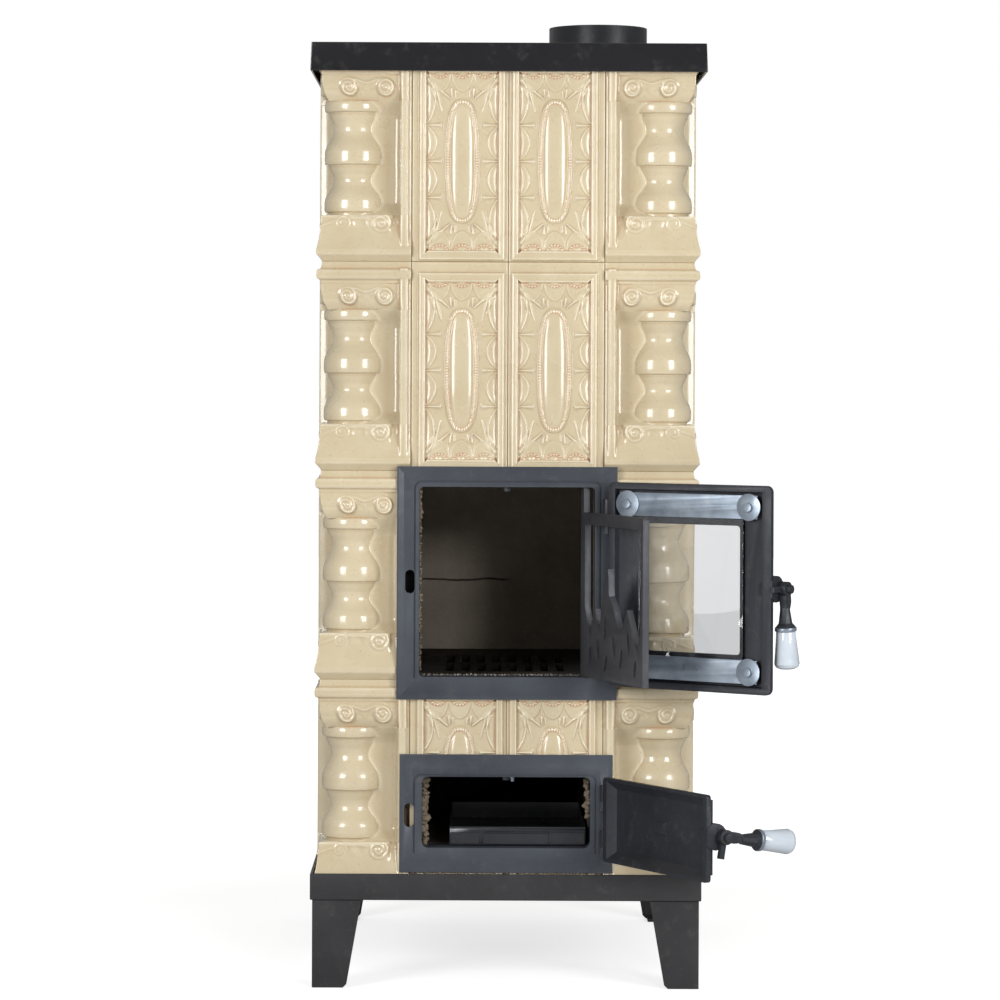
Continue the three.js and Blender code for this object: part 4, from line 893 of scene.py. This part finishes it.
def drawer_front():
    """Three pressed plates and a rolled lip on the ash drawer's front."""
    shape = bmesh.new()
    for low, high, out in ((-61.0, -29.0, 0.9), (-25.0, 47.0, 1.7), (51.0, 87.0, 0.9)):
        box_shell(shape, (low, -252.0 - out, 156.5), (high, -251.9, 169.5))
    box_shell(shape, (-62.0, -253.2, 173.6), (88.0, -251.6, 175.7))
    made_piece("ash_drawer_front", shape, DRAWER_PAINT, "ash_drawer", 0.7)


def bolt(name, x, y, z_top, z_low):
    """A zinc bolt end with its nut, hanging from the top of a doorway."""
    shape = bmesh.new()
    for radius, high, low, sides in ((3.1, z_top, z_top - 3.0, 6), (1.9, z_top - 2.9, z_low, 20)):
        turn = Matrix.Translation((x * 0.001, y * 0.001, (high + low) * 0.0005))
        bmesh.ops.create_cone(shape, cap_ends=True, segments=sides, radius1=radius * 0.001, radius2=radius * 0.001,
                              depth=(high - low) * 0.001, matrix=turn)
    made_piece(name, shape, ZINC, "stove", 0.3)


scatter()
latch_pocket("fire_latch_pocket", SLOTS[0], SOOTY_IRON)
latch_pocket("ash_latch_pocket", SLOTS[1], RAW_CLAY)
drawer_front()
bolt("ash_frame_bolt", 7.0, -255.0, 232.4, 226.0)


# ---------------------------------------------------------------- stage, light, camera

def stage_floor():
    """A white floor that reads as the backdrop and keeps the stove's shadow."""
    mesh = bpy.data.meshes.new("studio_floor")
    mesh.from_pydata([(-9, -9, -0.0005), (9, -9, -0.0005), (9, 9, -0.0005), (-9, 9, -0.0005)], [], [(0, 1, 2, 3)])
    floor = linked("studio_floor", mesh)
    white = bpy.data.materials.new("studio_white")
    white.use_nodes = True
    tree = white.node_tree
    tree.nodes.clear()
    path = add(tree, "ShaderNodeLightPath")
    place = add(tree, "ShaderNodeTexCoord")
    reach = add(tree, "ShaderNodeVectorMath", {0: place.outputs["Object"]}, operation="LENGTH")
    far = add(tree, "ShaderNodeMapRange", {0: reach.outputs["Value"], 1: 0.6, 2: 1.7, 3: FLOOR_GLOW, 4: 1.0})
    through = add(tree, "ShaderNodeMath", {0: path.outputs["Is Transmission Ray"], 1: THROUGH_GLASS},
                  operation="MULTIPLY")
    direct = add(tree, "ShaderNodeMath", {0: path.outputs["Is Camera Ray"], 1: through.outputs[0]},
                 operation="MAXIMUM")
    power = add(tree, "ShaderNodeMath", {0: far.outputs[0], 1: direct.outputs[0]}, operation="MULTIPLY")
    plain = add(tree, "ShaderNodeBsdfDiffuse", {"Color": (0.62, 0.62, 0.62, 1.0)})
    glow = add(tree, "ShaderNodeEmission", {"Color": (1.0, 1.0, 1.0, 1.0), "Strength": power.outputs[0]})
    both = add(tree, "ShaderNodeAddShader", {0: plain.outputs[0], 1: glow.outputs[0]})
    out = add(tree, "ShaderNodeOutputMaterial")
    tree.links.new(both.outputs[0], out.inputs["Surface"])
    floor.data.materials.append(white)


def softbox(name, azimuth, distance, height, width, tall, power, glossy=True):
    """A rectangular soft light standing at azimuth degrees from the front, to the right if positive."""
    lamp = bpy.data.lights.new(name, "AREA")
    lamp.shape = "RECTANGLE"
    lamp.size = width
    lamp.size_y = tall
    lamp.energy = power
    obj = bpy.data.objects.new(name, lamp)
    turn = math.radians(azimuth)
    obj.location = (distance * math.sin(turn), -distance * math.cos(turn), height)
    aim = Vector((0.0, 0.0, 0.6)) - obj.location
    obj.rotation_euler = aim.to_track_quat("-Z", "Y").to_euler()
    obj.visible_glossy = glossy
    bpy.context.scene.collection.objects.link(obj)


def studio():
    """A backdrop that the camera sees as white and that lights the stove less, two softboxes and a fill lamp."""
    world = bpy.data.worlds.new("studio_world")
    bpy.context.scene.world = world
    world.use_nodes = True
    tree = world.node_tree
    tree.nodes.clear()
    path = add(tree, "ShaderNodeLightPath")
    through = add(tree, "ShaderNodeMath", {0: path.outputs["Is Transmission Ray"], 1: SKY_THROUGH_GLASS},
                  operation="MULTIPLY")
    seen = add(tree, "ShaderNodeMath", {0: path.outputs["Is Camera Ray"], 1: through.outputs[0]},
               operation="MAXIMUM")
    strength = add(tree, "ShaderNodeMapRange", {0: seen.outputs[0], 3: WORLD_LIGHT, 4: 1.0})
    sky = add(tree, "ShaderNodeBackground", {"Color": (1.0, 1.0, 1.0, 1.0), "Strength": strength.outputs[0]})
    out = add(tree, "ShaderNodeOutputWorld")
    tree.links.new(sky.outputs[0], out.inputs["Surface"])
    for hand, azimuth in (("left", -SOFTBOX_ANGLE), ("right", SOFTBOX_ANGLE)):
        softbox(f"softbox_{hand}", azimuth, LAMP_DISTANCE, 1.1, 0.95, 1.3, SOFTBOX_POWER)
    softbox("fill_lamp", 15.0, LAMP_DISTANCE, 1.06, 0.3, 0.3, 16.0, glossy=False)


def camera():
    """The photo's camera, as found from its vanishing point and the stove's size."""
    data = bpy.data.cameras.new("camera")
    data.sensor_width = 36.0
    data.lens = CAMERA_LENS
    data.shift_x, data.shift_y = CAMERA_SHIFT
    obj = bpy.data.objects.new("camera", data)
    obj.location = CAMERA_PLACE
    obj.rotation_euler = (math.pi / 2, math.radians(CAMERA_ROLL), 0.0)
    bpy.context.scene.collection.objects.link(obj)
    bpy.context.scene.camera = obj


stage_floor()
studio()
camera()
bpy.context.scene.view_settings.view_transform = "Standard"
